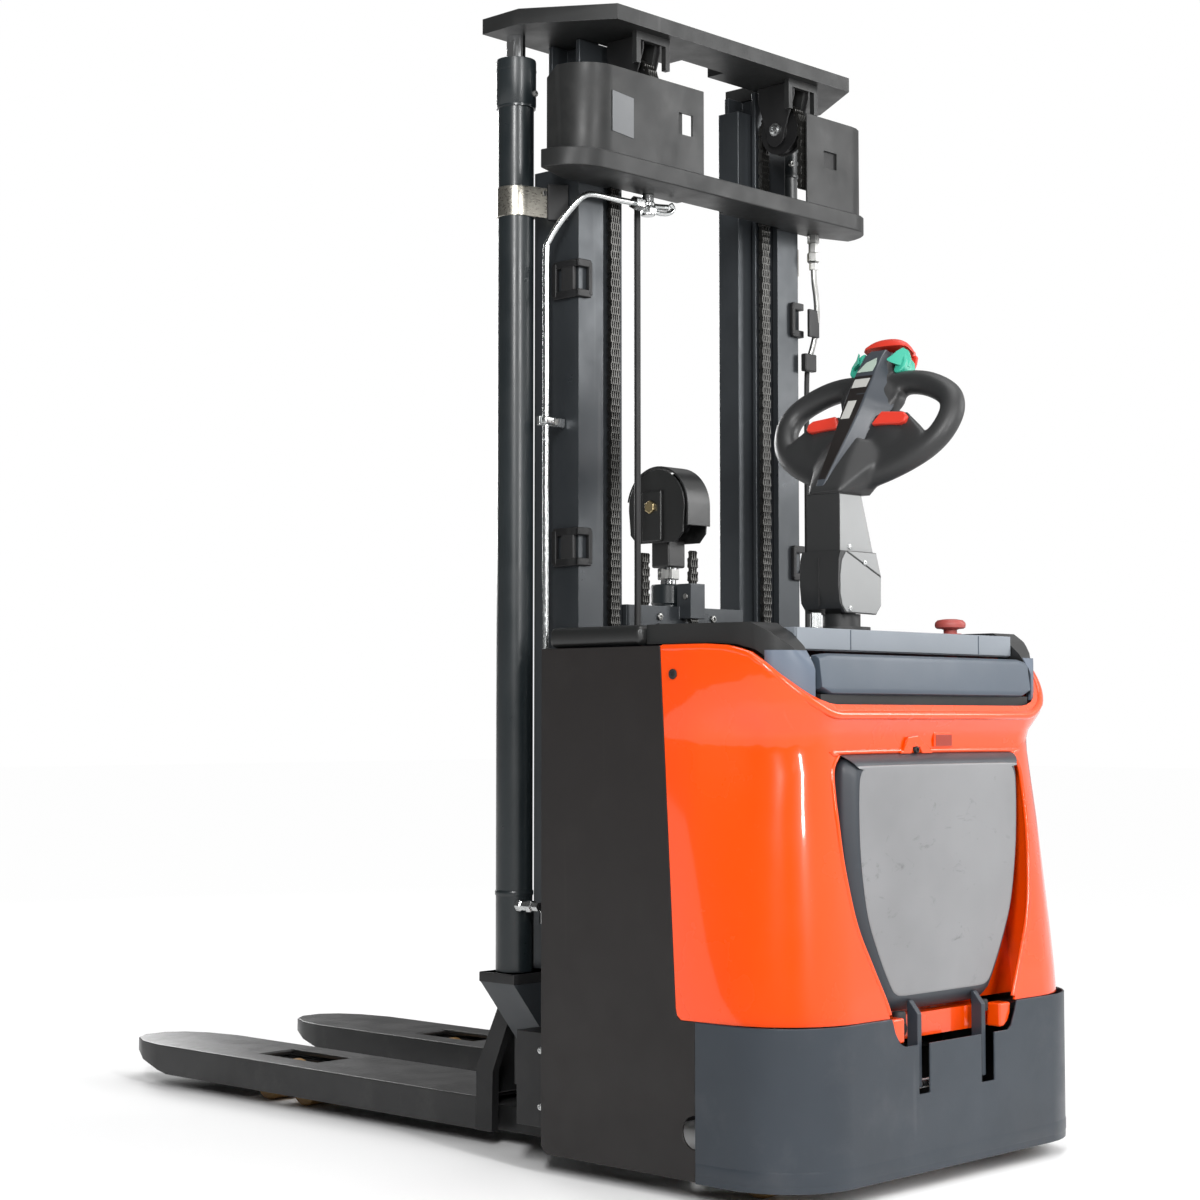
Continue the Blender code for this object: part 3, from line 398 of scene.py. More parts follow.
def lathe_bm(profile, p, axis="Z", steps=32, m=None):
    """Solid of revolution of (radius, height) points; ends on the axis are closed."""
    bm = bmesh.new()
    rings = []
    for r, h in profile:
        if r < 1e-6:
            rings.append([bm.verts.new((0, 0, h))])
        else:
            rings.append([bm.verts.new((r * math.cos(2 * math.pi * i / steps), r * math.sin(2 * math.pi * i / steps), h))
                          for i in range(steps)])
    for A, B in zip(rings, rings[1:]):
        for i in range(steps):
            j = (i + 1) % steps
            if len(A) == 1:
                bm.faces.new((A[0], B[i], B[j]))
            elif len(B) == 1:
                bm.faces.new((A[i], B[0], A[j]))
            else:
                bm.faces.new((A[i], B[i], B[j], A[j]))
    bmesh.ops.recalc_face_normals(bm, faces=bm.faces[:])
    rot = {"X": Matrix.Rotation(math.radians(90), 4, "Y"), "Y": Matrix.Rotation(math.radians(-90), 4, "X"),
           "Z": Matrix.Identity(4)}[axis]
    t = Matrix.Translation(p) @ rot
    bmesh.ops.transform(bm, matrix=(m @ t) if m is not None else t, verts=bm.verts[:])
    return bm


def lathe(name, profile, p, key, body, axis="Z", steps=32, m=None, smooth=35.0, **kw):
    return make(name, lathe_bm(profile, p, axis, steps, m), key, body, smooth=smooth, **kw)


def bolt(name, p, axis, r, h, key, body, socket=True, m=None):
    """Round-head screw with a hexagon socket, or a hexagon head; p is the seat, h the signed height."""
    s = 1 if h > 0 else -1
    k = abs(h)
    if socket:
        prof = [(0, 0), (r, 0), (r, s * k * 0.55), (r * 0.86, s * k * 0.9), (r * 0.62, s * k), (r * 0.5, s * k),
                (r * 0.46, s * k * 0.35), (0, s * k * 0.3)]
        return lathe(name, prof, p, key, body, axis, 24, m)
    prof = [(0, 0), (r, 0), (r, s * k * 0.85), (r * 0.88, s * k), (0, s * k)]
    return lathe(name, prof, p, key, body, axis, 6, m, smooth=20.0)


def smooth_path(pts, sub=6, closed=False):
    """Catmull-Rom points through the given ones."""
    P = [Vector(p) for p in pts]
    n = len(P)
    out = []
    rng = range(n) if closed else range(n - 1)
    for i in rng:
        if closed:
            p0, p1, p2, p3 = P[(i - 1) % n], P[i], P[(i + 1) % n], P[(i + 2) % n]
        else:
            p0, p1, p2, p3 = P[max(i - 1, 0)], P[i], P[i + 1], P[min(i + 2, n - 1)]
        for k in range(sub):
            t = k / sub
            out.append(0.5 * ((2 * p1) + (p2 - p0) * t + (2 * p0 - 5 * p1 + 4 * p2 - p3) * t * t
                              + (3 * p1 - p0 - 3 * p2 + p3) * t ** 3))
    if not closed:
        out.append(P[-1])
    return out


def tube_bm(pts, r, seg=12, closed=False, squash=None, up=(0, 0, 1)):
    """Round (or oval) tube swept along points with a steady frame."""
    bm = bmesh.new()
    n = len(pts)
    rings = []
    ref = Vector(up)
    for i, p in enumerate(pts):
        a = pts[(i - 1) % n] if (closed or i > 0) else pts[0]
        b = pts[(i + 1) % n] if (closed or i < n - 1) else pts[-1]
        t = (b - a).normalized()
        u = ref - t * ref.dot(t)
        if u.length < 1e-3:
            u = Vector((1, 0, 0)) - t * t.x
        u.normalize()
        w = t.cross(u)
        rr = r[i] if isinstance(r, (list, tuple)) else r
        ra, rb = (rr, rr) if squash is None else (rr, rr * squash)
        rings.append([bm.verts.new(p + w * (ra * math.cos(2 * math.pi * k / seg)) + u * (rb * math.sin(2 * math.pi * k / seg)))
                      for k in range(seg)])
        if up == (0, 0, 1) and not closed:
            ref = u
    pairs = list(zip(rings, rings[1:])) + ([(rings[-1], rings[0])] if closed else [])
    for A, B in pairs:
        for k in range(seg):
            j = (k + 1) % seg
            bm.faces.new((A[k], A[j], B[j], B[k]))
    if not closed:
        bm.faces.new(rings[0][::-1])
        bm.faces.new(rings[-1])
    bmesh.ops.recalc_face_normals(bm, faces=bm.faces[:])
    return bm


def tube(name, pts, r, key, body, seg=12, sub=6, closed=False, squash=None, up=(0, 0, 1), smooth=60.0, **kw):
    path = smooth_path(pts, sub, closed) if sub > 1 else [Vector(p) for p in pts]
    return make(name, tube_bm(path, r, seg, closed, squash, up), key, body, smooth=smooth, **kw)


def join_bm(*bms):
    out = bmesh.new()
    for b in bms:
        me = bpy.data.meshes.new("tmp")
        b.to_mesh(me)
        b.free()
        out.from_mesh(me)
        bpy.data.meshes.remove(me)
    return out


# ------------------------------------------------------------ hood line
INSET = [(0.286, 0.006), (0.330, 0.009), (0.400, 0.016), (0.500, 0.027), (0.600, 0.038), (0.680, 0.049), (0.712, 0.053),
         (0.735, 0.054), (0.750, 0.050), (0.765, 0.040), (0.780, 0.030), (0.800, 0.024), (0.830, 0.022), (0.950, 0.022)]
CX, CY, PR = 0.265, -0.817, 0.160
CONTOUR = [(-0.676, 0.889), (-0.780, 0.889), (-0.823, 0.886), (-0.860, 0.877), (-0.891, 0.857), (-0.918, 0.833),
           (-0.941, 0.811), (-0.957, 0.796), (-0.967, 0.784), (-0.974, 0.776), (-0.978, 0.772)]


def inset_at(z):
    return float(np.interp(z, [a for a, _ in INSET], [b for _, b in INSET]))


def contour_z(y):
    return float(np.interp(-y, [-a for a, _ in CONTOUR], [b for _, b in CONTOUR]))


def inward(x, y, d):
    t = min(1.0, max(0.0, (-0.720 - y) / 0.140))
    d *= t * t * (3 - 2 * t)
    if y < CY and abs(x) > CX:
        v = Vector((math.copysign(CX, x) - x, CY - y)).normalized()
        return x + d * v.x, y + d * v.y
    if y < CY:
        return x, y + d
    return x - math.copysign(d, x), y


def plan_points(inset=0.0, y_start=-0.695, n_side=10, n_arc=16, n_rear=16):
    h, r = 0.425 - inset, PR - inset
    pts = [(-h, y_start + (CY - y_start) * i / n_side) for i in range(n_side)]
    pts += [(-CX + r * math.cos(math.radians(180 + 90 * i / n_arc)), CY + r * math.sin(math.radians(180 + 90 * i / n_arc)))
            for i in range(n_arc)]
    pts += [(-CX + 2 * CX * i / n_rear, CY - r) for i in range(n_rear)]
    half = pts[:]
    pts += [(CX, CY - r)] + [(-x, y) for x, y in reversed(half[:n_side + n_arc])]
    return pts


# rolled edge along the hood's top, where the orange meets the black covers
edge_pts = []
for x, y in plan_points(0.0068, -0.6955):
    z = contour_z(y if abs(y) < 0.978 else -0.978)
    px_, py_ = inward(x, y, inset_at(z))
    edge_pts.append(Vector((px_, py_, z - 0.0052)))
make("hood_top_edge", tube_bm(edge_pts, 0.0072, 14), "m_hood", "chassis", smooth=60)

# rounded rim of the recess in the hood
rim = [(0.230, 0.715), (0.250, 0.708), (0.268, 0.686), (0.2715, 0.645), (0.271, 0.600), (0.266, 0.530), (0.248, 0.440),
       (0.217, 0.372), (0.186, 0.312), (0.178, 0.292)]
rim_full = [(x, z) for x, z in reversed(rim)] + [(-x, z) for x, z in rim]
rim3 = [Vector((x, -0.9745 + inset_at(z), z)) for x, z in rim_full]
make("hood_recess_rim", tube_bm(smooth_path(rim3, 5), 0.0048, 10, up=(0, 1, 0)), "m_hood", "chassis", smooth=60)

# striker and latch pocket above the platform
yh = -0.977 + inset_at(0.73)
prism("platform_striker", [(-0.086, 0.716), (-0.079, 0.716), (-0.066, 0.7385), (-0.036, 0.7415), (-0.014, 0.724), (0.003, 0.716),
                           (0.003, 0.711), (-0.026, 0.711), (-0.032, 0.722), (-0.052, 0.722), (-0.057, 0.711), (-0.086, 0.711)],
      yh - 0.0005, yh - 0.006, "m_hood", "chassis", plane="XZ", bevel=(0.0015, 2))
bolt("platform_striker_screw", (-0.0425, yh - 0.003, 0.7175), "Y", 0.0062, -0.005, "m_rubber", "chassis")
prism("latch_recess", [(0.011, 0.722), (0.066, 0.722), (0.066, 0.746), (0.011, 0.746)], yh - 0.0035, yh - 0.0012, "m_hood",
      "chassis", plane="XZ", bevel=(0.0012, 2))
# floor of the latch recess in the darker hood orange: painted shade in the recess
prism("latch_recess_floor", [(0.015, 0.7235), (0.062, 0.7235), (0.062, 0.7425), (0.015, 0.7425)], yh - 0.0042, yh - 0.0030,
      "m_hood_shade", "chassis", plane="XZ", bevel=(0.0004, 1))

for side, s in (("left", -1), ("right", 1)):
    bolt(f"hood_screw_{side}", (s * 0.4247, -0.7220, 0.842), "X", 0.0085, s * 0.0026, "m_rubber", "chassis")

# console and storage panel
prism("console_rear_band", [(-0.3065, 0.8825), (-0.3065, 0.9175), (0.3065, 0.9175), (0.3065, 0.8825)], -0.8855, -0.8832,
      "m_tray", "chassis", plane="XZ", bevel=(0.001, 2))
for i, x in enumerate((-0.165, 0.205)):
    block(f"console_step_{i}", (x - 0.0012, -0.8863, 0.8835), (x + 0.0012, -0.8850, 0.9165), "m_slate", "chassis",
          bevel=(0.0003, 1))
bm = bmesh.new()
rows = []
for k in range(25):
    x = -0.2995 + 0.599 * k / 24
    t = abs(x) / 0.2995
    crown = 0.0055 * (1 - t ** 2.5)
    drop = 0.010 * max(0.0, (t - 0.90) / 0.10) ** 2
    prof = [(-0.9075, 0.8745 - drop * 0.3), (-0.918, 0.8750 - drop * 0.4), (-0.9240 - crown, 0.8715 - drop * 0.5),
            (-0.9262 - crown, 0.8640 - drop * 0.2), (-0.9315 - crown, 0.8190 + drop * 0.2), (-0.9300 - crown, 0.8105 + drop),
            (-0.9240, 0.8070 + drop), (-0.9075, 0.8060 + drop)]
    rows.append([bm.verts.new((x, y, z)) for y, z in prof])
for A, B in zip(rows, rows[1:]):
    for i in range(len(A)):
        j = (i + 1) % len(A)
        bm.faces.new((A[i], A[j], B[j], B[i]))
bm.faces.new(rows[0])
bm.faces.new(rows[-1][::-1])
bmesh.ops.recalc_face_normals(bm, faces=bm.faces[:])
make("storage_panel_face", bm, "m_slate", "chassis", replaces=("storage_panel",), smooth=38, bevel=(0.0012, 2))
# black sheet in the gap under the storage lid: painted shadow for the shade in that gap
prism("storage_panel_shadow_slot", [(-0.297, 0.7765), (-0.297, 0.8090), (0.297, 0.8090), (0.297, 0.7765)], -0.9260, -0.9135,
      "m_rubber", "chassis", plane="XZ", bevel=(0.0006, 1))

# slate-blue shells on the ends of the arm rests: painted sheen, the reflection on the black arm-rest ends coloured in
# as slate-blue
def sheen_surface_y(x, z):
    prof = float(np.interp(z, [0.802, 0.822, 0.856, 0.886, 0.909], [-0.937, -0.934, -0.922, -0.902, -0.876]))
    return max(prof, CY - math.sqrt(0.1375 ** 2 - (x - CX) ** 2) + 0.022)


for side, s in (("left", -1), ("right", 1)):
    xs = [0.3105, 0.3180, 0.3280, 0.3380, 0.3480, 0.3580, 0.3670, 0.3740]
    zs = [0.8035, 0.8120, 0.8240, 0.8360, 0.8480, 0.8600, 0.8710, 0.8790]
    bm = bmesh.new()
    outer = [[bm.verts.new((s * x, sheen_surface_y(x, z) - 0.0012, z)) for z in zs] for x in xs]
    inner = [[bm.verts.new((s * x, sheen_surface_y(x, z) + 0.0060, z)) for z in zs] for x in xs]
    n, m = len(xs), len(zs)
    for i in range(n - 1):
        for j in range(m - 1):
            bm.faces.new((outer[i][j], outer[i + 1][j], outer[i + 1][j + 1], outer[i][j + 1]))
            bm.faces.new((inner[i][j], inner[i][j + 1], inner[i + 1][j + 1], inner[i + 1][j]))
    loop_o = [outer[i][0] for i in range(n)] + [outer[-1][j] for j in range(1, m)] + [outer[i][-1] for i in range(n - 2, -1, -1)] + [
        outer[0][j] for j in range(m - 2, 0, -1)]
    loop_i = [inner[i][0] for i in range(n)] + [inner[-1][j] for j in range(1, m)] + [inner[i][-1] for i in range(n - 2, -1, -1)] + [
        inner[0][j] for j in range(m - 2, 0, -1)]
    for k in range(len(loop_o)):
        j = (k + 1) % len(loop_o)
        bm.faces.new((loop_o[k], loop_i[k], loop_i[j], loop_o[j]))
    bmesh.ops.recalc_face_normals(bm, faces=bm.faces[:])
    make(f"arm_rest_cap_{side}", bm, "m_cowl_grey", "chassis", smooth=50)

# orange lining behind the notch of the skirt
for side, s in (("left", -1), ("right", 1)):
    pts = [(0.1360, 0.2425), (0.1480, 0.2425), (0.1600, 0.2500), (0.1680, 0.2640), (0.1700, 0.2830), (0.1360, 0.2830)]
    prism(f"hood_notch_lining_{side}", [(s * x, z) for x, z in pts], -0.9690, -0.9410, "m_hood", "chassis", plane="XZ", bevel=(0.004, 4))

# bevelled ridge between the battery cover and the rear cowl
prism("cover_joint_ridge", [(-0.6635, 0.9225), (-0.6500, 0.9225), (-0.6530, 0.9272), (-0.6600, 0.9275)], -0.3900, 0.3900,
      "m_cover", "chassis", plane="YZ", bevel=(0.001, 2))

# ------------------------------------------------------------ platform
PF = [(0.196, 0.693), (0.211, 0.688), (0.2205, 0.676), (0.224, 0.655), (0.2245, 0.600), (0.220, 0.533), (0.204, 0.450), (0.174, 0.383), (0.143, 0.331),
      (0.130, 0.319), (0.112, 0.315), (0.060, 0.3145)]
PO = [(0.212, 0.711), (0.229, 0.707), (0.241, 0.696), (0.2465, 0.676), (0.247, 0.600), (0.242, 0.530), (0.226, 0.445), (0.196, 0.375), (0.160, 0.312),
      (0.146, 0.297), (0.122, 0.2885), (0.062, 0.2880)]


def full_ring(half, y, sub=5):
    pts = [Vector((x, y, z)) for x, z in half] + [Vector((-x, y, z)) for x, z in reversed(half)]
    return smooth_path(pts, sub, True)


def loft_ring_bm(rings, cap=True):
    bm = bmesh.new()
    rows = [[bm.verts.new(p) for p in r] for r in rings]
    n = len(rows[0])
    for A, B in zip(rows, rows[1:]):
        for i in range(n):
            bm.faces.new((A[i], A[(i + 1) % n], B[(i + 1) % n], B[i]))
    if cap:
        bm.faces.new(rows[0][::-1])
        bm.faces.new(rows[-1])
    bmesh.ops.recalc_face_normals(bm, faces=bm.faces[:])
    return bm


def blend_half(a, b, t):
    return [(p[0] + (q[0] - p[0]) * t, p[1] + (q[1] - p[1]) * t) for p, q in zip(a, b)]


rings = [full_ring(PO, -0.9082), full_ring(PO, -0.9230), full_ring(blend_half(PF, PO, 0.97), -0.9270),
         full_ring(blend_half(PF, PO, 0.86), -0.9310), full_ring(blend_half(PF, PO, 0.58), -0.9385), full_ring(blend_half(PF, PO, 0.34), -0.9430),
         full_ring(blend_half(PF, PO, 0.15), -0.9455), full_ring(PF, -0.9464)]
make("platform_board_edge", loft_ring_bm(rings), "m_platform_edge", "platform", replaces=("platform",), smooth=50)
rings = [full_ring(blend_half(PF, PO, 0.02), -0.9440), full_ring(blend_half(PF, PO, 0.0), -0.9470),
         full_ring(blend_half(PF, PO, -0.08), -0.9480), full_ring(blend_half(PF, PO, -0.16), -0.9482)]
make("platform_board_pad", loft_ring_bm(rings), "m_platform", "platform", smooth=50)
for side, s in (("left", -1), ("right", 1)):
    a, b = sorted((s * 0.086, s * 0.0975))
    prism(f"platform_arm_{side}", [(-0.966, 0.166), (-0.9445, 0.160), (-0.9445, 0.3065), (-0.9490, 0.3065), (-0.966, 0.286)],
          a, b, "m_skirt", "platform", plane="YZ", bevel=(0.0012, 2))
    lathe(f"platform_arm_boss_{side}", [(0, -0.009), (0.013, -0.009), (0.0155, -0.006), (0.0155, 0.006), (0.013, 0.009), (0, 0.009)],
          (s * 0.1125, -0.936, 0.262), "m_rubber", "chassis", axis="X")
    lathe(f"platform_buffer_{side}", [(0, -0.010), (0.010, -0.010), (0.011, -0.008), (0.011, 0.006), (0.009, 0.009), (0, 0.009)],
          (s * 0.118, -0.944, 0.281), "m_rubber", "chassis", axis="Z", steps=20)
make("platform_hinge_rod", lathe_bm([(0, -0.090), (0.007, -0.090), (0.008, -0.088), (0.008, 0.088), (0.007, 0.090), (0, 0.090)],
                                    (0, -0.955, 0.170), "X", 20), "m_steel", "platform", smooth=35)

# ------------------------------------------------------------ skirt edge
R2, C2X, C2Y = 0.140, 0.285, -0.837


def skirt_plan(inset, y_start=-0.7690):
    h, r = 0.425 - inset, R2 - inset
    pts = [(-h, y_start), (-h, (y_start + C2Y) / 2)]
    pts += [(-C2X + r * math.cos(math.radians(180 + 90 * i / 18)), C2Y + r * math.sin(math.radians(180 + 90 * i / 18)))
            for i in range(19)]
    return pts + [(-x, y) for x, y in reversed(pts)]


rows = [[Vector((x, y, z)) for x, y in skirt_plan(i)] for i, z in
        ((0.0002, 0.0640), (-0.0006, 0.0600), (-0.0007, 0.0450), (0.0010, 0.0375), (0.0060, 0.0315), (0.0120, 0.0300), (0.0125, 0.0330),
         (0.0045, 0.0420))]
bm = bmesh.new()
vr = [[bm.verts.new(p) for p in r] for r in rows]
for A, B in zip(vr, vr[1:]):
    for i in range(len(A) - 1):
        bm.faces.new((A[i], A[i + 1], B[i + 1], B[i]))
make("skirt_bottom_edge", bm, "m_skirt", "chassis", smooth=60)

# ------------------------------------------------------------ chains
def chain(name, path, key, body, xc, pitch=0.0127, half=0.012, depth=0.0105, n_odd=4, replaces=()):
    """Leaf chain: rows of thin figure-eight plates joined by pins, laid along a path in a YZ plane."""
    P = [Vector(p) for p in path]
    L = [0.0]
    for a, b in zip(P, P[1:]):
        L.append(L[-1] + (b - a).length)

    def at(s):
        s = min(max(s, 0.0), L[-1] - 1e-6)
        k = max(i for i in range(len(L)) if L[i] <= s)
        k = min(k, len(P) - 2)
        t = (s - L[k]) / (L[k + 1] - L[k])
        return P[k].lerp(P[k + 1], t)

    bm = bmesh.new()
    n = int(L[-1] / pitch)
    joints = [at(i * pitch + 0.004) for i in range(n)]
    n_even = n_odd + 1
    th = 2 * half / (n_odd + n_even) * 0.94
    xs_even = [-half + th / 2 + 2 * i * (half - th / 2) / (n_even - 1) for i in range(n_even)]
    step = (xs_even[1] - xs_even[0]) if n_even > 1 else half
    xs_odd = [x + step / 2 for x in xs_even[:-1]]
    for i in range(n - 1):
        a, b = joints[i], joints[i + 1]
        t = (b - a).normalized()
        nrm = Vector((0, -t.z, t.y))
        h = depth / 2
        ends_a = [a + t * (-h * 0.80 * math.cos(math.radians(g))) + nrm * (h * math.sin(math.radians(g))) for g in (75, 25, -25, -75)]
        ends_b = [b + t * (h * 0.80 * math.cos(math.radians(g))) + nrm * (h * math.sin(math.radians(g))) for g in (-75, -25, 25, 75)]
        mid = (a + b) / 2
        ring = ends_a + [mid - nrm * (h * 0.80)] + ends_b + [mid + nrm * (h * 0.80)]
        for x in (xs_even if i % 2 == 0 else xs_odd):
            lo = [bm.verts.new((xc + x - th / 2, p.y, p.z)) for p in ring]
            hi = [bm.verts.new((xc + x + th / 2, p.y, p.z)) for p in ring]
            m = len(ring)
            bm.faces.new(lo)
            bm.faces.new(hi[::-1])
            for k in range(m):
                bm.faces.new((lo[k], hi[k], hi[(k + 1) % m], lo[(k + 1) % m]))
    for c in joints:
        r = depth * 0.20
        lo = [bm.verts.new((xc - half - 0.0010, c.y + r * math.cos(q), c.z + r * math.sin(q))) for q in
              [math.pi * 2 * k / 6 for k in range(6)]]
        hi = [bm.verts.new((xc + half + 0.0010, v.co.y, v.co.z)) for v in lo]
        bm.faces.new(lo)
        bm.faces.new(hi[::-1])
        for k in range(6):
            bm.faces.new((lo[k], hi[k], hi[(k + 1) % 6], lo[(k + 1) % 6]))
    bmesh.ops.recalc_face_normals(bm, faces=bm.faces[:])
    return make(name, bm, key, body, replaces=replaces, smooth=25)


SY, SZ = -0.439, 1.904
for side, s in (("left", -1), ("right", 1)):
    R = 0.0485
    path = [(0, SY + R, 0.124)] + [(0, SY + R * math.cos(math.radians(a)), SZ + R * math.sin(math.radians(a)))
                                   for a in range(0, 181, 10)] + [(0, SY - R, 1.778)]
    chain(f"leaf_chain_{side}", path, "m_chain", body_of(f"lift_chain_{side}"), s * 0.2135, half=0.0118,
          replaces=(f"lift_chain_{side}",))
chain("freelift_leaf_chain_rear", [(0, -0.391, 0.363), (0, -0.391, 1.092)], "m_chain", "freelift", 0.0, half=0.0098, n_odd=3,
      replaces=("freelift_chain_rear",))
chain("freelift_leaf_chain_front", [(0, -0.2693, 0.403), (0, -0.2693, 1.092)], "m_chain", "freelift", 0.0, half=0.0098, n_odd=3,
      replaces=("freelift_chain_front",))

# ------------------------------------------------------------ mast head
for side, s in (("left", -1), ("right", 1)):
    sb = body_of("top_plate")
    # tapered wheel bracket with a round foot and a bright pin
    ear = [(SY - 0.046, 1.9915), (SY - 0.046, 1.965), (SY - 0.0215, 1.895)] + [
        (SY + 0.0215 * math.cos(math.radians(a)), 1.893 + 0.0215 * math.sin(math.radians(a))) for a in range(195, 346, 15)] + [
        (SY + 0.0215, 1.895), (SY + 0.043, 1.965), (SY + 0.043, 1.9915)]
    for nm, x0, x1 in (("inner", 0.1895, 0.1925), ("outer", 0.2345, 0.2375)):
        a, b = sorted((s * x0, s * x1))
        prism(f"wheel_bracket_{nm}_{side}", ear, a, b, "m_frame", sb, plane="YZ", bevel=(0.0008, 2))
    for nm, x, sg in (("inner", s * 0.1895, -s), ("outer", s * 0.2375, s)):
        lathe(f"wheel_pin_{nm}_{side}", [(0, 0), (0.0125, 0), (0.0125, sg * 0.0025), (0.0095, sg * 0.0030), (0.0090, sg * 0.0075),
                                         (0.0075, sg * 0.0085), (0.0035, sg * 0.0085), (0.0030, sg * 0.0065), (0, sg * 0.0065)],
              (x, SY, SZ), "m_steel", sb, axis="X", steps=28)
    # grooved chain wheel
    lathe(f"chain_wheel_{side}", [(0.0108, 0.0120), (0.018, 0.0120), (0.0185, 0.0105), (0.034, 0.0095), (0.0450, 0.0118), (0.0455, 0.0105),
                                  (0.0420, 0.0095), (0.0420, -0.0095), (0.0455, -0.0105), (0.0450, -0.0118), (0.034, -0.0095),
                                  (0.0185, -0.0105), (0.018, -0.0120), (0.0108, -0.0120), (0.0108, 0.0120)],
          (s * 0.2135, SY, SZ), "m_frame", f"sheave_{side}", axis="X", steps=48, replaces=(f"chain_sheave_{side}",))
    # collar, set screw and seal of the lift cylinder
    cx, cy = s * 0.375, -0.302
    cb = body_of(f"lift_cylinder_{side}")
    lathe(f"cylinder_collar_{side}", [(0.0200, 1.9482), (0.0335, 1.9482), (0.0362, 1.9455), (0.0362, 1.8655), (0.0345, 1.8625),
                                      (0.0328, 1.8600)], (cx, cy, 0), "m_cylinder", cb, steps=48)
    lathe(f"cylinder_wiper_{side}", [(0.0172, 1.9475), (0.0172, 1.9500), (0.0215, 1.9505), (0.0300, 1.9495), (0.0310, 1.9475)],
          (cx, cy, 0), "m_rubber", cb, steps=40)
    lathe(f"cylinder_rib_{side}", [(0.0326, 1.930), (0.0368, 1.930), (0.0368, 1.9275), (0.0326, 1.9275)], (cx, cy, 0), "m_cylinder", cb,
          steps=48)
    bolt(f"collar_screw_{side}", (cx - s * 0.012, cy - 0.0345, 1.885), "Y", 0.0062, -0.005, "m_bolt", cb)
    lathe(f"cylinder_base_ring_{side}", [(0.0326, 0.470), (0.0338, 0.468), (0.0338, 0.462), (0.0326, 0.460)], (cx, cy, 0),
          "m_cylinder", cb, steps=40)
    # strap clamp round the cylinder with its bracket
    lathe(f"cylinder_strap_{side}", [(0.0327, 1.662), (0.0345, 1.663), (0.0345, 1.715), (0.0327, 1.716)], (cx, cy, 0), "m_strap", cb,
          steps=56)
    prism(f"strap_flap_{side}", [(cx + s * 0.005, cy - 0.0340), (cx - s * 0.036, cy - 0.0450), (cx - s * 0.036, cy - 0.0425),
                                 (cx + s * 0.005, cy - 0.0315)], 1.662, 1.716, "m_strap", cb, bevel=(0.0008, 2))
    prism(f"strap_bracket_{side}", [(cx - s * 0.034, -0.3450), (cx - s * 0.064, -0.3450), (cx - s * 0.064, -0.3720), (cx - s * 0.034, -0.3500)],
          1.658, 1.7235, "m_frame", cb, bevel=(0.002, 3))
    bolt(f"strap_screw_{side}", (cx - s * 0.028, cy - 0.0430, 1.706), "Y", 0.0055, -0.004, "m_bolt", cb, socket=False)
    # black clips that wrap the corner of the outer channel
    for i, z in enumerate((1.552, 1.073)):
        for j, (z0, z1) in enumerate(((z - 0.034, z - 0.020), (z + 0.020, z + 0.034))):
            a, b = sorted((s * 0.3105, s * 0.3185))
            block(f"mast_clip_side_{side}_{i}_{j}", (a, -0.4020, z0), (b, -0.3400, z1), "m_frame", cb, bevel=(0.002, 3))
            a, b = sorted((s * 0.2850, s * 0.3185))
            block(f"mast_clip_rear_{side}_{i}_{j}", (a, -0.4045, z0), (b, -0.3965, z1), "m_frame", cb, bevel=(0.002, 3))
        a, b = sorted((s * 0.3105, s * 0.3195))
        block(f"mast_clip_ear_{side}_{i}_0", (a, -0.3480, z - 0.030), (b, -0.3370, z + 0.030), "m_frame", cb, bevel=(0.002, 3))
        block(f"mast_clip_pad_{side}_{i}", (a, -0.3920, z - 0.022), (b, -0.3600, z + 0.022), "m_rubber", cb, bevel=(0.003, 3))
        a, b = sorted((s * 0.2830, s * 0.2920))
        block(f"mast_clip_ear_{side}_{i}_1", (a, -0.4050, z - 0.030), (b, -0.3965, z + 0.030), "m_frame", cb, bevel=(0.002, 3))

# blank rating plate on the left cover, and its window lip
prism("rating_plate_blank", [(-0.3335, 1.795), (-0.2790, 1.790), (-0.2790, 1.862), (-0.3335, 1.867)], -0.50165, -0.50045, "m_blank_grey", "chassis",
      plane="XZ", bevel=(0.0004, 1))
block("cover_window_block_left", (-0.1600, -0.4960, 1.820), (-0.1440, -0.4880, 1.864), "m_rubber", "chassis", bevel=(0.001, 2))
block("cover_window_block_right", (0.2560, -0.4960, 1.829), (0.3080, -0.4880, 1.871), "m_rubber", "chassis", bevel=(0.001, 2))

# steel pipe with its fittings and clamp
tube("hydraulic_pipe_run", [(-0.362, -0.366, 0.420), (-0.362, -0.366, 0.9), (-0.362, -0.366, 1.40), (-0.362, -0.366, 1.585),
                            (-0.3585, -0.370, 1.615), (-0.345, -0.386, 1.650), (-0.328, -0.403, 1.680), (-0.316, -0.412, 1.695),
                            (-0.296, -0.416, 1.7015), (-0.240, -0.416, 1.7025), (-0.170, -0.416, 1.7045), (-0.130, -0.4175, 1.7055), (-0.107, -0.4265, 1.706)],
     0.0058, "m_pipe", body_of("hydraulic_pipe"), seg=16, sub=6, replaces=("hydraulic_pipe",))
pb = "chassis"
lathe("pipe_nut", [(0, -0.013), (0.0115, -0.013), (0.0125, -0.011), (0.0125, 0.008), (0.0100, 0.010), (0, 0.010)],
      (-0.176, -0.416, 1.7042), "m_steel", pb, axis="X", steps=6, smooth=20)
lathe("pipe_elbow_body", [(0, -0.020), (0.0115, -0.020), (0.0130, -0.018), (0.0130, 0.004), (0.0108, 0.006), (0.0108, 0.0185), (0, 0.0185)],
      (-0.150, -0.4165, 1.7050), "m_steel", pb, axis="Z", steps=28)
lathe("pipe_elbow_hex", [(0, -0.007), (0.0148, -0.007), (0.0154, -0.005), (0.0154, 0.005), (0.0148, 0.007), (0, 0.007)], (-0.150, -0.4165, 1.6960), "m_pipe", pb,
      axis="Z", steps=6, smooth=20)
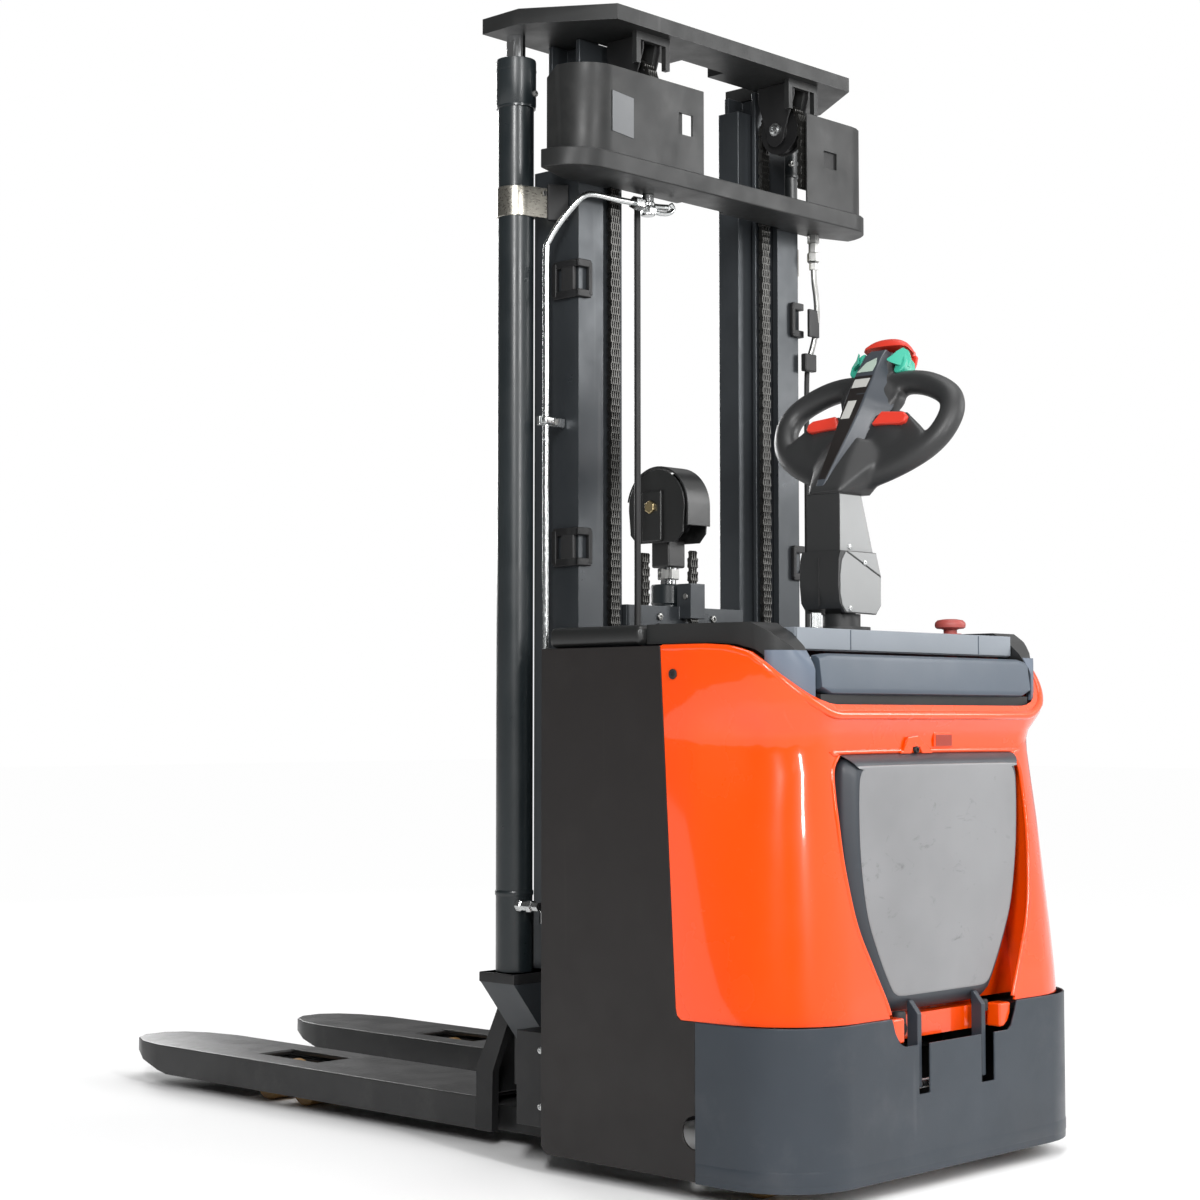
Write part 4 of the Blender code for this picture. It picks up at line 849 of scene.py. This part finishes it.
tube("pipe_tail", [(-0.140, -0.4165, 1.6960), (-0.118, -0.4190, 1.6945), (-0.100, -0.4230, 1.6975), (-0.090, -0.4240, 1.7065), (-0.096, -0.4235, 1.7150)], 0.0046,
     "m_pipe", pb, seg=14)
lathe("pipe_foot_union", [(0, -0.016), (0.0105, -0.016), (0.0105, 0.004), (0.0085, 0.006), (0.0085, 0.018), (0, 0.018)],
      (-0.362, -0.366, 0.430), "m_steel", pb, steps=6, smooth=20)
block("pipe_clamp_base", (-0.376, -0.3640, 1.286), (-0.3120, -0.3560, 1.302), "m_steel", pb, bevel=(0.001, 2))
block("pipe_clamp_bridge", (-0.374, -0.3775, 1.287), (-0.350, -0.3640, 1.301), "m_steel", pb, bevel=(0.004, 3))
bolt("pipe_clamp_nut", (-0.3395, -0.3640, 1.294), "Y", 0.0065, -0.007, "m_bolt", pb, socket=False)
lathe("cylinder_port_union", [(0, -0.030), (0.008, -0.030), (0.008, -0.016), (0.011, -0.014), (0.011, -0.004), (0.0085, -0.002), (0.0085, 0.010),
                              (0.0105, 0.012), (0.0105, 0.022), (0, 0.022)], (-0.392, -0.352, 0.445), "m_steel", pb, axis="Y", steps=6, smooth=20)

# right-hand fitting, looped pipe and hose bracket under the tie plate
lathe("tie_fitting_right", [(0, 1.7240), (0.0120, 1.7240), (0.0120, 1.709), (0.0095, 1.707), (0.0095, 1.690), (0.0125, 1.688), (0.0125, 1.672), (0.0085, 1.668),
                            (0.0085, 1.655), (0, 1.655)], (0.338, -0.4130, 0), "m_bolt", pb, steps=6, smooth=20)
tube("tie_pipe_right", [(0.338, -0.413, 1.660), (0.339, -0.414, 1.630), (0.344, -0.4145, 1.600), (0.347, -0.414, 1.565), (0.346, -0.411, 1.530),
                        (0.341, -0.4065, 1.500), (0.336, -0.402, 1.478)], 0.0056, "m_bolt", pb, seg=14)
block("hose_bracket_right", (0.311, -0.4145, 1.452), (0.346, -0.4010, 1.487), "m_frame", pb, bevel=(0.003, 3))
block("hose_bracket_clip_right", (0.318, -0.4185, 1.520), (0.350, -0.4120, 1.575), "m_frame", pb, bevel=(0.002, 3))
tube("mast_hose_right_run", [(0.335, -0.3960, 0.500), (0.335, -0.3960, 1.0), (0.335, -0.3965, 1.40), (0.3355, -0.400, 1.460)], 0.0052, "m_rubber", pb,
     seg=14, replaces=("mast_hose_right",))
tube("mast_hose_left_run", [(-0.150, -0.390, 0.500), (-0.150, -0.390, 1.0), (-0.150, -0.390, 1.5), (-0.150, -0.390, 1.7238)], 0.0060, "m_rubber",
     body_of("mast_hose_left"), seg=16, replaces=("mast_hose_left",))
for i, z in enumerate((1.050,)):
    lathe(f"flange_boss_{i}", [(0, 0), (0.014, 0), (0.015, -0.002), (0.015, -0.007), (0.011, -0.010), (0, -0.0105)], (0.327, -0.3965, z), "m_frame", pb,
          axis="Y", steps=28)

# ------------------------------------------------------------ free-lift head
fl = "freelift"
FY = -0.330
disc = [(FY + 0.0705 * math.cos(math.radians(a)), 1.165 + 0.0705 * math.sin(math.radians(a))) for a in range(0, 181, 9)]
disc = disc + [(FY - 0.066, 1.115), (FY - 0.050, 1.098), (FY + 0.050, 1.098), (FY + 0.066, 1.115)]
prism("freelift_side_plate_left", disc, -0.0340, -0.0300, "m_cover", fl, plane="YZ", bevel=(0.0012, 2))
prism("freelift_side_plate_right", disc, 0.0300, 0.0340, "m_cover", fl, plane="YZ", bevel=(0.0012, 2))
lathe("freelift_wheel", [(0.010, 0.013), (0.030, 0.012), (0.0585, 0.013), (0.060, 0.012), (0.056, 0.0115), (0.056, -0.0115), (0.060, -0.012),
                         (0.0585, -0.013), (0.030, -0.012), (0.010, -0.013), (0.010, 0.013)], (0, FY, 1.165), "m_frame", fl, axis="X", steps=48,
      replaces=("freelift_head",))
guard_out = [(FY + 0.0775 * math.cos(math.radians(a)), 1.165 + 0.0775 * math.sin(math.radians(a))) for a in range(10, 181, 8)] + [(FY - 0.0775, 1.128)]
guard_in = [(FY - 0.0735, 1.128)] + [(FY + 0.0735 * math.cos(math.radians(a)), 1.165 + 0.0735 * math.sin(math.radians(a))) for a in range(180, 9, -8)]
prism("freelift_guard", guard_out + guard_in, -0.0315, 0.0315, "m_cover", fl, plane="YZ", bevel=(0.0010, 2))
for nm, sg in (("left", -1), ("right", 1)):
    a, b = sorted((sg * 0.0340, sg * 0.0415))
    prism(f"freelift_keeper_{nm}", [(FY - 0.018, 1.100), (FY + 0.030, 1.100), (FY + 0.030, 1.196), (FY - 0.018, 1.196)], a, b, "m_cover", fl,
          plane="YZ", bevel=(0.003, 3))
    bolt(f"freelift_pin_{nm}", (sg * 0.0415, FY + 0.006, 1.165), "X", 0.0125, sg * 0.006, "m_brass", fl, socket=False)
block("freelift_yoke", (-0.024, FY - 0.022, 1.052), (0.024, FY + 0.022, 1.104), "m_cover", fl, bevel=(0.004, 3))
lathe("freelift_rod", [(0, 0.26), (0.0140, 0.26), (0.0145, 0.262), (0.0145, 1.048), (0.0180, 1.048), (0.0180, 1.0535), (0, 1.0535)], (0, FY, 0), "m_chrome", fl, steps=36)
lathe("freelift_rod_nut", [(0, 1.030), (0.0195, 1.030), (0.0205, 1.032), (0.0205, 1.050), (0.0195, 1.0515), (0, 1.0515)], (0, FY, 0), "m_bolt", fl, steps=6, smooth=20)
lathe("freelift_gland", [(0.0168, 1.0205), (0.0310, 1.0205), (0.0330, 1.018), (0.0330, 0.985), (0.0305, 0.982)], (0, FY, 0), "m_cylinder",
      body_of("freelift_cylinder"), steps=40)
ib = body_of("inner_crossbeam")
block("chain_anchor_clevis", (-0.0175, -0.4035, 0.962), (0.0175, -0.3775, 1.012), "m_frame", ib, bevel=(0.003, 3))
bolt("chain_anchor_pin", (-0.0175, -0.3915, 0.996), "X", 0.006, -0.005, "m_bolt", ib, socket=False)
bolt("crossbeam_screw_0", (-0.075, -0.3757, 0.957), "Y", 0.007, -0.004, "m_bolt", ib)
bolt("crossbeam_screw_1", (0.075, -0.3757, 0.957), "Y", 0.007, -0.004, "m_bolt", ib)

# ------------------------------------------------------------ lower front: cylinder ledges, their bolts and the front box screws
for side, s in (("left", -1), ("right", 1)):
    b0, b1 = sorted((s * 0.3120, s * 0.4200))
    prism(f"cylinder_ledge_{side}", [(b0, 0.3105), (b1, 0.3105), (b1, 0.3280), (b0, 0.3280)], -0.3470, -0.2600, "m_frame", "chassis", plane="XZ", bevel=(0.0018, 2))
    bolt(f"ledge_bolt_{side}", (s * 0.397, -0.268, 0.3105), "Z", 0.007, -0.012, "m_steel", "chassis", socket=False)
    for i, z in enumerate((0.205, 0.110)):
        bolt(f"front_box_screw_{side}_{i}", (s * 0.4150, -0.410, z), "X", 0.006, s * 0.004, "m_steel", "chassis")

# ------------------------------------------------------------ tiller
L = math.radians(26.5)
E = Vector((0, -1, 0))
UP = Vector((math.sin(L), 0, math.cos(L)))
N = E.cross(UP)
HEAD = Matrix.Translation((-0.030, -0.770, 1.158)) @ Matrix((E, UP, N)).transposed().to_4x4()


def H(s, v, n=0.0):
    return HEAD @ Vector((s, v, n))


loop = [(0.020, 0.221), (0.060, 0.226), (0.100, 0.2215), (0.138, 0.2065), (0.166, 0.187), (0.1785, 0.164), (0.1790, 0.140),
        (0.169, 0.111), (0.148, 0.086), (0.118, 0.066), (0.085, 0.050), (0.052, 0.038), (0.020, 0.028)]
bits = []
for sg in (-1, 1):
    path = smooth_path([H(sg * a, b, 0.0) for a, b in loop], 5)
    bits.append(tube_bm(path, 0.0224, 20, squash=0.94, up=tuple(N)))
apron = [(0.036, -0.006), (0.054, 0.030), (0.086, 0.046), (0.120, 0.062), (0.148, 0.084), (0.143, 0.112), (0.136, 0.117), (0.119, 0.133), (0.103, 0.147),
         (0.084, 0.156), (0.040, 0.150)]
bits.append(prism_bm(apron + [(-a, b) for a, b in reversed(apron)], -0.0205, 0.0215, HEAD))
web = [(0.030, 0.130), (0.060, 0.150), (0.088, 0.147), (0.108, 0.133), (0.124, 0.108), (0.128, 0.085), (0.100, 0.060), (0.060, 0.042), (0.030, 0.020),
       (0.024, -0.006)]
bits.append(prism_bm(web + [(-a, b) for a, b in reversed(web)], -0.0130, 0.0130, HEAD))
crown = [(0.024, 0.288), (0.034, 0.275), (0.035, 0.224), (0.060, 0.216), (0.064, 0.190), (0.048, 0.160), (0.030, 0.130)]
bits.append(prism_bm(crown + [(-a, b) for a, b in reversed(crown)], -0.0145, 0.0170, HEAD))


def blob(c, r):
    bm = bmesh.new()
    bmesh.ops.create_icosphere(bm, subdivisions=3, radius=1.0, matrix=HEAD @ Matrix.Translation(c) @ Matrix.Diagonal((*r, 1)))
    return bm


bits += [blob((0, 0.244, 0.004), (0.037, 0.044, 0.027)), blob((0, 0.195, 0.003), (0.064, 0.062, 0.0265)),
         blob((0.064, 0.106, 0.003), (0.062, 0.048, 0.0235)), blob((-0.064, 0.106, 0.003), (0.062, 0.048, 0.0235)),
         blob((0, 0.060, 0.003), (0.082, 0.060, 0.0245))]
coll = bmesh.new()
for q in [(-0.0885, -0.8040, 1.1550), (-0.0300, -0.8040, 1.1550), (-0.0300, -0.7360, 1.1550), (-0.0885, -0.7360, 1.1550),
          (-0.0885, -0.8040, 1.1640), (-0.0885, -0.7360, 1.1640), H(0.026, 0.040, 0.046), H(-0.026, 0.040, 0.046), H(0.068, 0.050, 0.024),
          H(0.068, 0.050, -0.020), H(-0.068, 0.050, -0.020), H(-0.068, 0.050, 0.024), H(0.020, 0.100, 0.034), H(-0.020, 0.100, 0.034),
          H(0.060, 0.090, 0.022), H(-0.060, 0.090, 0.022)]:
    coll.verts.new(q)
hull = bmesh.ops.convex_hull(coll, input=coll.verts[:])
bmesh.ops.delete(coll, geom=[g for g in hull["geom_interior"] if isinstance(g, bmesh.types.BMVert)], context="VERTS")
bmesh.ops.recalc_face_normals(coll, faces=coll.faces[:])
bits.append(coll)
bm = join_bm(*bits)
me = bpy.data.meshes.new("tiller_head_shell")
bm.to_mesh(me)
bm.free()
shell = bpy.data.objects.new("tiller_head_shell", me)
SCENE.collection.objects.link(shell)
rm = shell.modifiers.new("remesh", "REMESH")
rm.mode = "VOXEL"
rm.voxel_size = 0.0026
rm.use_smooth_shade = True
sm = shell.modifiers.new("smooth", "SMOOTH")
sm.factor = 0.5
sm.iterations = 36
bpy.context.view_layer.update()
dg = bpy.context.evaluated_depsgraph_get()
me2 = bpy.data.meshes.new_from_object(shell.evaluated_get(dg))
bpy.data.objects.remove(shell, do_unlink=True)
bpy.data.meshes.remove(me)
bm = bmesh.new()
bm.from_mesh(me2)
bpy.data.meshes.remove(me2)
cutz = 1.1567
for v in bm.verts:
    if v.co.z < cutz:
        v.co.z = cutz
make("tiller_head_shell", bm, "m_tiller", "tiller", replaces=("tiller_head",), smooth=60)

# spine: flat front with a slanted facet on each side, widest at the buttons
stations = [(-0.012, -0.0215, -0.0040, 0.0080, 0.0545), (0.030, -0.0215, 0.0015, 0.0160, 0.0520), (0.080, -0.0225, 0.0075, 0.0320, 0.0490),
            (0.110, -0.0235, 0.0110, 0.0350, 0.0470), (0.148, -0.0250, 0.0155, 0.0430, 0.0450), (0.166, -0.0250, 0.0175, 0.0580, 0.0445),
            (0.182, -0.0250, 0.0185, 0.0590, 0.0440),
            (0.215, -0.0240, 0.0205, 0.0480, 0.0420), (0.240, -0.0230, 0.0205, 0.0350, 0.0400), (0.270, -0.0210, 0.0190, 0.0250, 0.0340),
            (0.286, -0.0180, 0.0160, 0.0200, 0.0260)]
bm = bmesh.new()
rows = []
for v, tl, tr, wb, n in stations:
    rows.append([bm.verts.new(H(s_, v, n_)) for s_, n_ in ((-0.030, 0.006), (tl, n), (tr, n), (wb, 0.010))])
for A, B in zip(rows, rows[1:]):
    for i in range(4):
        j = (i + 1) % 4
        bm.faces.new((A[i], A[j], B[j], B[i]))
bm.faces.new(rows[0])
bm.faces.new(rows[-1][::-1])
for v in bm.verts:
    if v.co.z < cutz:
        v.co.z = cutz
bmesh.ops.recalc_face_normals(bm, faces=bm.faces[:])
make("tiller_spine", bm, "m_spine", "tiller", smooth=30, bevel=(0.0024, 3))


def on_spine(name, quad, h0, h1, key, bevel=(0.0005, 1)):
    bm = bmesh.new()
    lo, hi = [], []
    for s_, v in quad:
        n = float(np.interp(v, [q[0] for q in stations], [q[4] for q in stations]))
        lo.append(bm.verts.new(H(s_, v, n + h0)))
        hi.append(bm.verts.new(H(s_, v, n + h1)))
    m = len(quad)
    bm.faces.new(lo)
    bm.faces.new(hi[::-1])
    for k in range(m):
        bm.faces.new((lo[k], hi[k], hi[(k + 1) % m], lo[(k + 1) % m]))
    bmesh.ops.recalc_face_normals(bm, faces=bm.faces[:])
    return make(name, bm, key, "tiller", smooth=30, bevel=bevel)


on_spine("tiller_spine_panel", [(-0.0205, 0.002), (-0.0045, 0.002), (0.0055, 0.080), (0.0130, 0.150), (0.0175, 0.222), (-0.0225, 0.222), (-0.0235, 0.150),
                                (-0.0212, 0.080)], -0.0010, 0.0006, "m_panel")
on_spine("spine_plate_a", [(-0.0200, 0.196), (0.0125, 0.196), (0.0150, 0.215), (-0.0190, 0.215)], 0.0005, 0.0013, "m_blank")
on_spine("spine_plate_b", [(-0.0200, 0.130), (-0.0010, 0.130), (0.0025, 0.168), (-0.0165, 0.168)], 0.0005, 0.0013, "m_blank")
on_spine("spine_plate_c", [(-0.0210, 0.230), (0.0140, 0.230), (0.0155, 0.246), (0.0100, 0.262), (-0.0090, 0.252)], 0.0005, 0.0014, "m_teal_pale")

for nm, sg in (("lift", 1), ("lower", -1)):
    pts = [(0.036, 0.1245), (0.050, 0.1505), (0.100, 0.1450), (0.109, 0.1370), (0.108, 0.1250), (0.098, 0.1210)]
    pts = [(sg * a, b) for a, b in pts]
    prism(f"{nm}_rocker", pts, 0.0190, 0.0300, "m_red", f"{nm}_button", m=HEAD, bevel=(0.0035, 4), replaces=(f"{nm}_button",))
    well = [(sg * a, b) for a, b in ((0.033, 0.122), (0.048, 0.1535), (0.102, 0.1480), (0.112, 0.1375), (0.111, 0.1225), (0.099, 0.1180))]
    prism(f"{nm}_rocker_well", well, 0.0120, 0.0215, "m_tiller", "tiller", m=HEAD, bevel=(0.002, 3))

# belly switch: domed cap over the end of the head
bm = bmesh.new()
rows = []
for k in range(25):
    s_ = -0.0480 + 0.096 * k / 24
    t = abs(s_) / 0.0480
    k1 = math.sqrt(max(0.0, 1 - t ** 2.2))
    top_v = 0.2975 + 0.0215 * k1
    hn = 0.0110 + 0.0100 * k1
    prof = [(0.2972, -hn), (0.2972 + 0.45 * (top_v - 0.2972), -hn), (0.2972 + 0.82 * (top_v - 0.2972), -hn * 0.78), (top_v, -hn * 0.32),
            (top_v, hn * 0.32), (0.2972 + 0.82 * (top_v - 0.2972), hn * 0.78), (0.2972 + 0.45 * (top_v - 0.2972), hn), (0.2972, hn)]
    rows.append([bm.verts.new(H(s_, v, n)) for v, n in prof])
for A, B in zip(rows, rows[1:]):
    for i in range(len(A)):
        j = (i + 1) % len(A)
        bm.faces.new((A[i], A[j], B[j], B[i]))
bm.faces.new(rows[0])
bm.faces.new(rows[-1][::-1])
bmesh.ops.recalc_face_normals(bm, faces=bm.faces[:])
make("belly_switch_cap", bm, "m_red", "belly_switch", smooth=60, replaces=("belly_switch",))
skirt_b = [(0.0450, 0.3000), (0.0470, 0.2850), (0.0450, 0.2680), (0.0380, 0.2600), (-0.0380, 0.2600), (-0.0450, 0.2680), (-0.0470, 0.2850), (-0.0450, 0.3000),
           (-0.0300, 0.3120), (0.0300, 0.3120)]
prism("belly_switch_skirt", skirt_b, -0.0310, -0.0245, "m_red", "belly_switch", m=HEAD, bevel=(0.0028, 3))
prism("belly_switch_bridge", [(-0.0400, 0.2975), (0.0400, 0.2975), (0.0400, 0.3085), (0.0300, 0.3130), (-0.0300, 0.3130), (-0.0400, 0.3085)], -0.0270, -0.0120,
      "m_red", "belly_switch", m=HEAD, bevel=(0.0028, 3))

# butterfly paddles
for nm, sg in (("left", -1), ("right", 1)):
    wing = [(0.0385, 0.2420), (0.0450, 0.2385), (0.0540, 0.2400), (0.0595, 0.2470), (0.0600, 0.2620), (0.0550, 0.2760), (0.0460, 0.2850), (0.0385, 0.2900)]
    wing = [(sg * a, b) for a, b in wing]
    prism(f"drive_paddle_{nm}", wing, -0.0165, 0.0185, "m_teal", "paddles", m=HEAD, bevel=(0.0060, 4),
          replaces=("drive_paddles",) if sg > 0 else ())
for nm, sg in (("left", -1), ("right", 1)):
    cols = [(0.0310, 0.2560, 0.2590, 0.0345), (0.0370, 0.2530, 0.2660, 0.0325), (0.0430, 0.2515, 0.2780, 0.0285), (0.0490, 0.2520, 0.2880, 0.0225),
            (0.0560, 0.2530, 0.2860, 0.0150), (0.0610, 0.2560, 0.2720, 0.0080)]
    bm = bmesh.new()
    rows = [[bm.verts.new(H(sg * a, v, n_)) for v, n_ in ((lo_, n0), (hi_, n0), (hi_ - 0.001, n0 - 0.0055), (lo_ + 0.001, n0 - 0.0055))]
            for a, lo_, hi_, n0 in cols]
    for A, B in zip(rows, rows[1:]):
        for k in range(4):
            j = (k + 1) % 4
            bm.faces.new((A[k], A[j], B[j], B[k]))
    bm.faces.new(rows[0])
    bm.faces.new(rows[-1][::-1])
    bmesh.ops.recalc_face_normals(bm, faces=bm.faces[:])
    make(f"drive_paddle_face_{nm}", bm, "m_teal", "paddles", smooth=50, bevel=(0.0012, 3))
lathe("paddle_shaft", [(0, -0.042), (0.0058, -0.042), (0.0058, 0.042), (0, 0.042)], (0, 0.258, 0), "m_steel", "paddles", axis="X", steps=18, m=HEAD)

# side plates of the arm, their screws, the collar and the seam of the front
for nm, sg in (("rear", -1), ("front", 1)):
    y0, y1 = -0.770 + sg * 0.0418, -0.770 + sg * 0.0432
    prism(f"tiller_side_plate_{nm}", [(-0.0820, 1.0550), (0.0165, 1.0140), (0.0165, 0.9665), (0.0025, 0.9510), (-0.0815, 0.9525), (-0.0920, 0.9640),
                                      (-0.0975, 0.9830), (-0.0975, 1.0150), (-0.0930, 1.0400)], y0, y1, "m_tiller_plate", "tiller", plane="XZ", bevel=(0.0006, 2))
    prism(f"tiller_upper_plate_{nm}", [(-0.0760, 1.0560), (0.0035, 1.0560), (0.0165, 1.0175)], y0, y1, "m_tiller_plate", "tiller", plane="XZ", bevel=(0.0006, 2))
    y2, y3 = -0.770 + sg * 0.0348, -0.770 + sg * 0.0360
    prism(f"tiller_neck_plate_{nm}", [(-0.0885, 1.1545), (-0.0290, 1.1545), (0.0030, 1.0575), (-0.0885, 1.0575)], y2, y3, "m_tiller_plate", "tiller",
          plane="XZ", bevel=(0.0006, 2))
    for i, (x, z, yy) in enumerate(((-0.0640, 1.0650, y3), (-0.0300, 1.0380, y1), (-0.0720, 0.9580, y1))):
        bolt(f"tiller_plate_screw_{nm}_{i}", (x, yy, z), "Y", 0.0048, sg * 0.0022, "m_steel", "tiller")
block("tiller_front_seam", (-0.1040, -0.7708, 0.962), (-0.1005, -0.7692, 1.046), "m_rubber", "tiller", bevel=(0.0003, 1))
tube("tiller_collar_joint", [(-0.0890, -0.8045, 1.1572), (-0.0290, -0.8045, 1.1572), (-0.0290, -0.7355, 1.1572), (-0.0890, -0.7355, 1.1572)], 0.0012,
     "m_rubber", "tiller", seg=8, sub=1, closed=True)

# ------------------------------------------------------------ emergency stop
lathe("emergency_stop_cap", [(0, 0.9460), (0.012, 0.9458), (0.0225, 0.9440), (0.0265, 0.9400), (0.0275, 0.9360), (0.0265, 0.9310), (0.0235, 0.9290), (0.0165, 0.9285),
                             (0.0120, 0.9270), (0.0118, 0.9200), (0.0118, 0.872), (0, 0.872)], (0.170, -0.850, 0), "m_estop", "emergency_stop", steps=40,
      replaces=("emergency_stop",))
lathe("emergency_stop_seat", [(0.0130, 0.9182), (0.0190, 0.9182), (0.0200, 0.9190), (0.0195, 0.9202), (0.0130, 0.9206)], (0.170, -0.850, 0), "m_estop", "chassis", steps=40)
lathe("steer_boot", [(0.0520, 0.9182), (0.0740, 0.9182), (0.0750, 0.9188), (0.0735, 0.9196), (0.0560, 0.9199), (0.0520, 0.9198)], (0, -0.770, 0), "m_rubber", "chassis", steps=48)

# hubs of the load rollers, the casters and the drive wheel
for side, s in (("left", -1), ("right", 1)):
    for end, y in (("front", 0.530), ("rear", 0.415)):
        bd = f"roller_{side}_{end}"
        for i, sg in enumerate((-1, 1)):
            lathe(f"roller_hub_{side}_{end}_{i}", [(0.0066, sg * 0.0442), (0.0180, sg * 0.0442), (0.0190, sg * 0.0448), (0.0180, sg * 0.0455), (0.0066, sg * 0.0455)],
                  (s * 0.217, y, 0.037), "m_steel", bd, axis="X", steps=28)
    bd = body_of(f"caster_wheel_{side}")
    for i, sg in enumerate((-1, 1)):
        lathe(f"caster_hub_{side}_{i}", [(0.0066, sg * 0.0202), (0.026, sg * 0.0202), (0.028, sg * 0.0210), (0.026, sg * 0.0216), (0.0066, sg * 0.0216)],
              (s * 0.310, -0.816, 0.050), "m_steel", bd, axis="X", steps=28)
for i, sg in enumerate((-1, 1)):
    lathe(f"drive_wheel_hub_{i}", [(0.0160, sg * 0.0352), (0.060, sg * 0.0352), (0.066, sg * 0.0340), (0.068, sg * 0.0360), (0.062, sg * 0.0375), (0.0160, sg * 0.0375)],
          (0, -0.770, 0.115), "m_frame", "drive_wheel", axis="Y", steps=40)


# ============================================================ stage, light, camera
def area(name, loc, target, size, energy, colour=(1, 1, 1), size_y=None):
    la = bpy.data.lights.new(name, "AREA")
    la.energy = energy
    la.size = size
    if size_y:
        la.shape = "RECTANGLE"
        la.size_y = size_y
    la.color = colour
    ob = bpy.data.objects.new(name, la)
    SCENE.collection.objects.link(ob)
    ob.location = loc
    ob.rotation_mode = "QUATERNION"
    ob.rotation_quaternion = (Vector(target) - Vector(loc)).to_track_quat("-Z", "Y")
    return ob


floor_bm = bmesh.new()
bmesh.ops.create_grid(floor_bm, x_segments=1, y_segments=1, size=30.0)
floor_me = bpy.data.meshes.new("studio_floor")
floor_bm.to_mesh(floor_me)
floor_bm.free()
floor = bpy.data.objects.new("studio_floor", floor_me)
floor.location.z = -0.0005
SCENE.collection.objects.link(floor)
fg = G("studio_floor")
fg.n["Principled BSDF"].inputs["Specular IOR Level"].default_value = 0.0
span = fg.n.new("ShaderNodeVectorMath")
span.operation = "LENGTH"
fg.l.new(fg.co, span.inputs[0])
far = fg.ramp(span.outputs["Value"], 1.1, 3.0)
fg.set(Base_Color=fg.mix(far, (0.92, 0.92, 0.92), (0.05, 0.05, 0.05)), Roughness=0.95, Emission_Color=(1.0, 1.0, 1.0),
       Emission_Strength=fg.ramp(far, 0.0, 1.0, 0.0, 0.97))
floor_me.materials.append(fg.m)

world = bpy.data.worlds.new("studio")
SCENE.world = world
world.use_nodes = True
wt = world.node_tree
bg = wt.nodes["Background"]
tc = wt.nodes.new("ShaderNodeTexCoord")
tilt = wt.nodes.new("ShaderNodeVectorMath")
tilt.operation = "DOT_PRODUCT"
tilt.inputs[1].default_value = (0.70, -0.62, 0.36)
wt.links.new(tc.outputs["Generated"], tilt.inputs[0])
mr = wt.nodes.new("ShaderNodeMapRange")
mr.interpolation_type = "SMOOTHSTEP"
mr.inputs["From Min"].default_value = 0.0
mr.inputs["From Max"].default_value = 0.95
mr.inputs["To Min"].default_value = 0.10
mr.inputs["To Max"].default_value = 0.85
wt.links.new(tilt.outputs["Value"], mr.inputs["Value"])
wt.links.new(mr.outputs["Result"], bg.inputs["Strength"])
bg.inputs["Color"].default_value = (1.0, 1.0, 1.0, 1.0)
seen = wt.nodes.new("ShaderNodeBackground")
seen.inputs["Color"].default_value = (1.0, 1.0, 1.0, 1.0)
seen.inputs["Strength"].default_value = 1.0
path = wt.nodes.new("ShaderNodeLightPath")
pick = wt.nodes.new("ShaderNodeMixShader")
wt.links.new(path.outputs["Is Camera Ray"], pick.inputs[0])
wt.links.new(bg.outputs[0], pick.inputs[1])
wt.links.new(seen.outputs[0], pick.inputs[2])
wt.links.new(pick.outputs[0], wt.nodes["World Output"].inputs["Surface"])

area("softbox_key", (-3.9, -3.3, 3.0), (0.0, -0.5, 0.9), 0.55, 175.0, size_y=2.2)
area("softbox_fill", (-1.4, -4.8, 2.4), (0.0, -0.5, 0.9), 0.35, 110.0, size_y=2.2)
area("softbox_right", (3.2, -3.4, 2.6), (0.0, -0.6, 0.9), 1.2, 75.0, size_y=2.4)
area("softbox_top", (0.3, -0.9, 4.6), (0.0, -0.2, 0.8), 2.6, 60.0)
area("softbox_front", (1.6, 4.8, 2.4), (0.0, 0.3, 0.8), 1.6, 150.0, size_y=2.2)

SCENE.view_settings.view_transform = "Standard"
SCENE.view_settings.look = "None"

cam_data = bpy.data.cameras.new("camera")
cam = bpy.data.objects.new("camera", cam_data)
SCENE.collection.objects.link(cam)
cam_data.sensor_width = 36.0
cam_data.lens = 69.64
cam_data.shift_x = 0.0
cam_data.shift_y = -0.02095
cam_data.clip_start = 0.05
cam_data.clip_end = 100.0
cam.location = (-3.2394, -3.2460, 0.7676)
YAW, PITCH, ROLL = math.radians(46.318), math.radians(3.5735), math.radians(-0.0496)
fwd = Vector((math.sin(YAW) * math.cos(PITCH), math.cos(YAW) * math.cos(PITCH), math.sin(PITCH)))
cam.rotation_mode = "QUATERNION"
cam.rotation_quaternion = fwd.to_track_quat("-Z", "Y")
SCENE.camera = cam
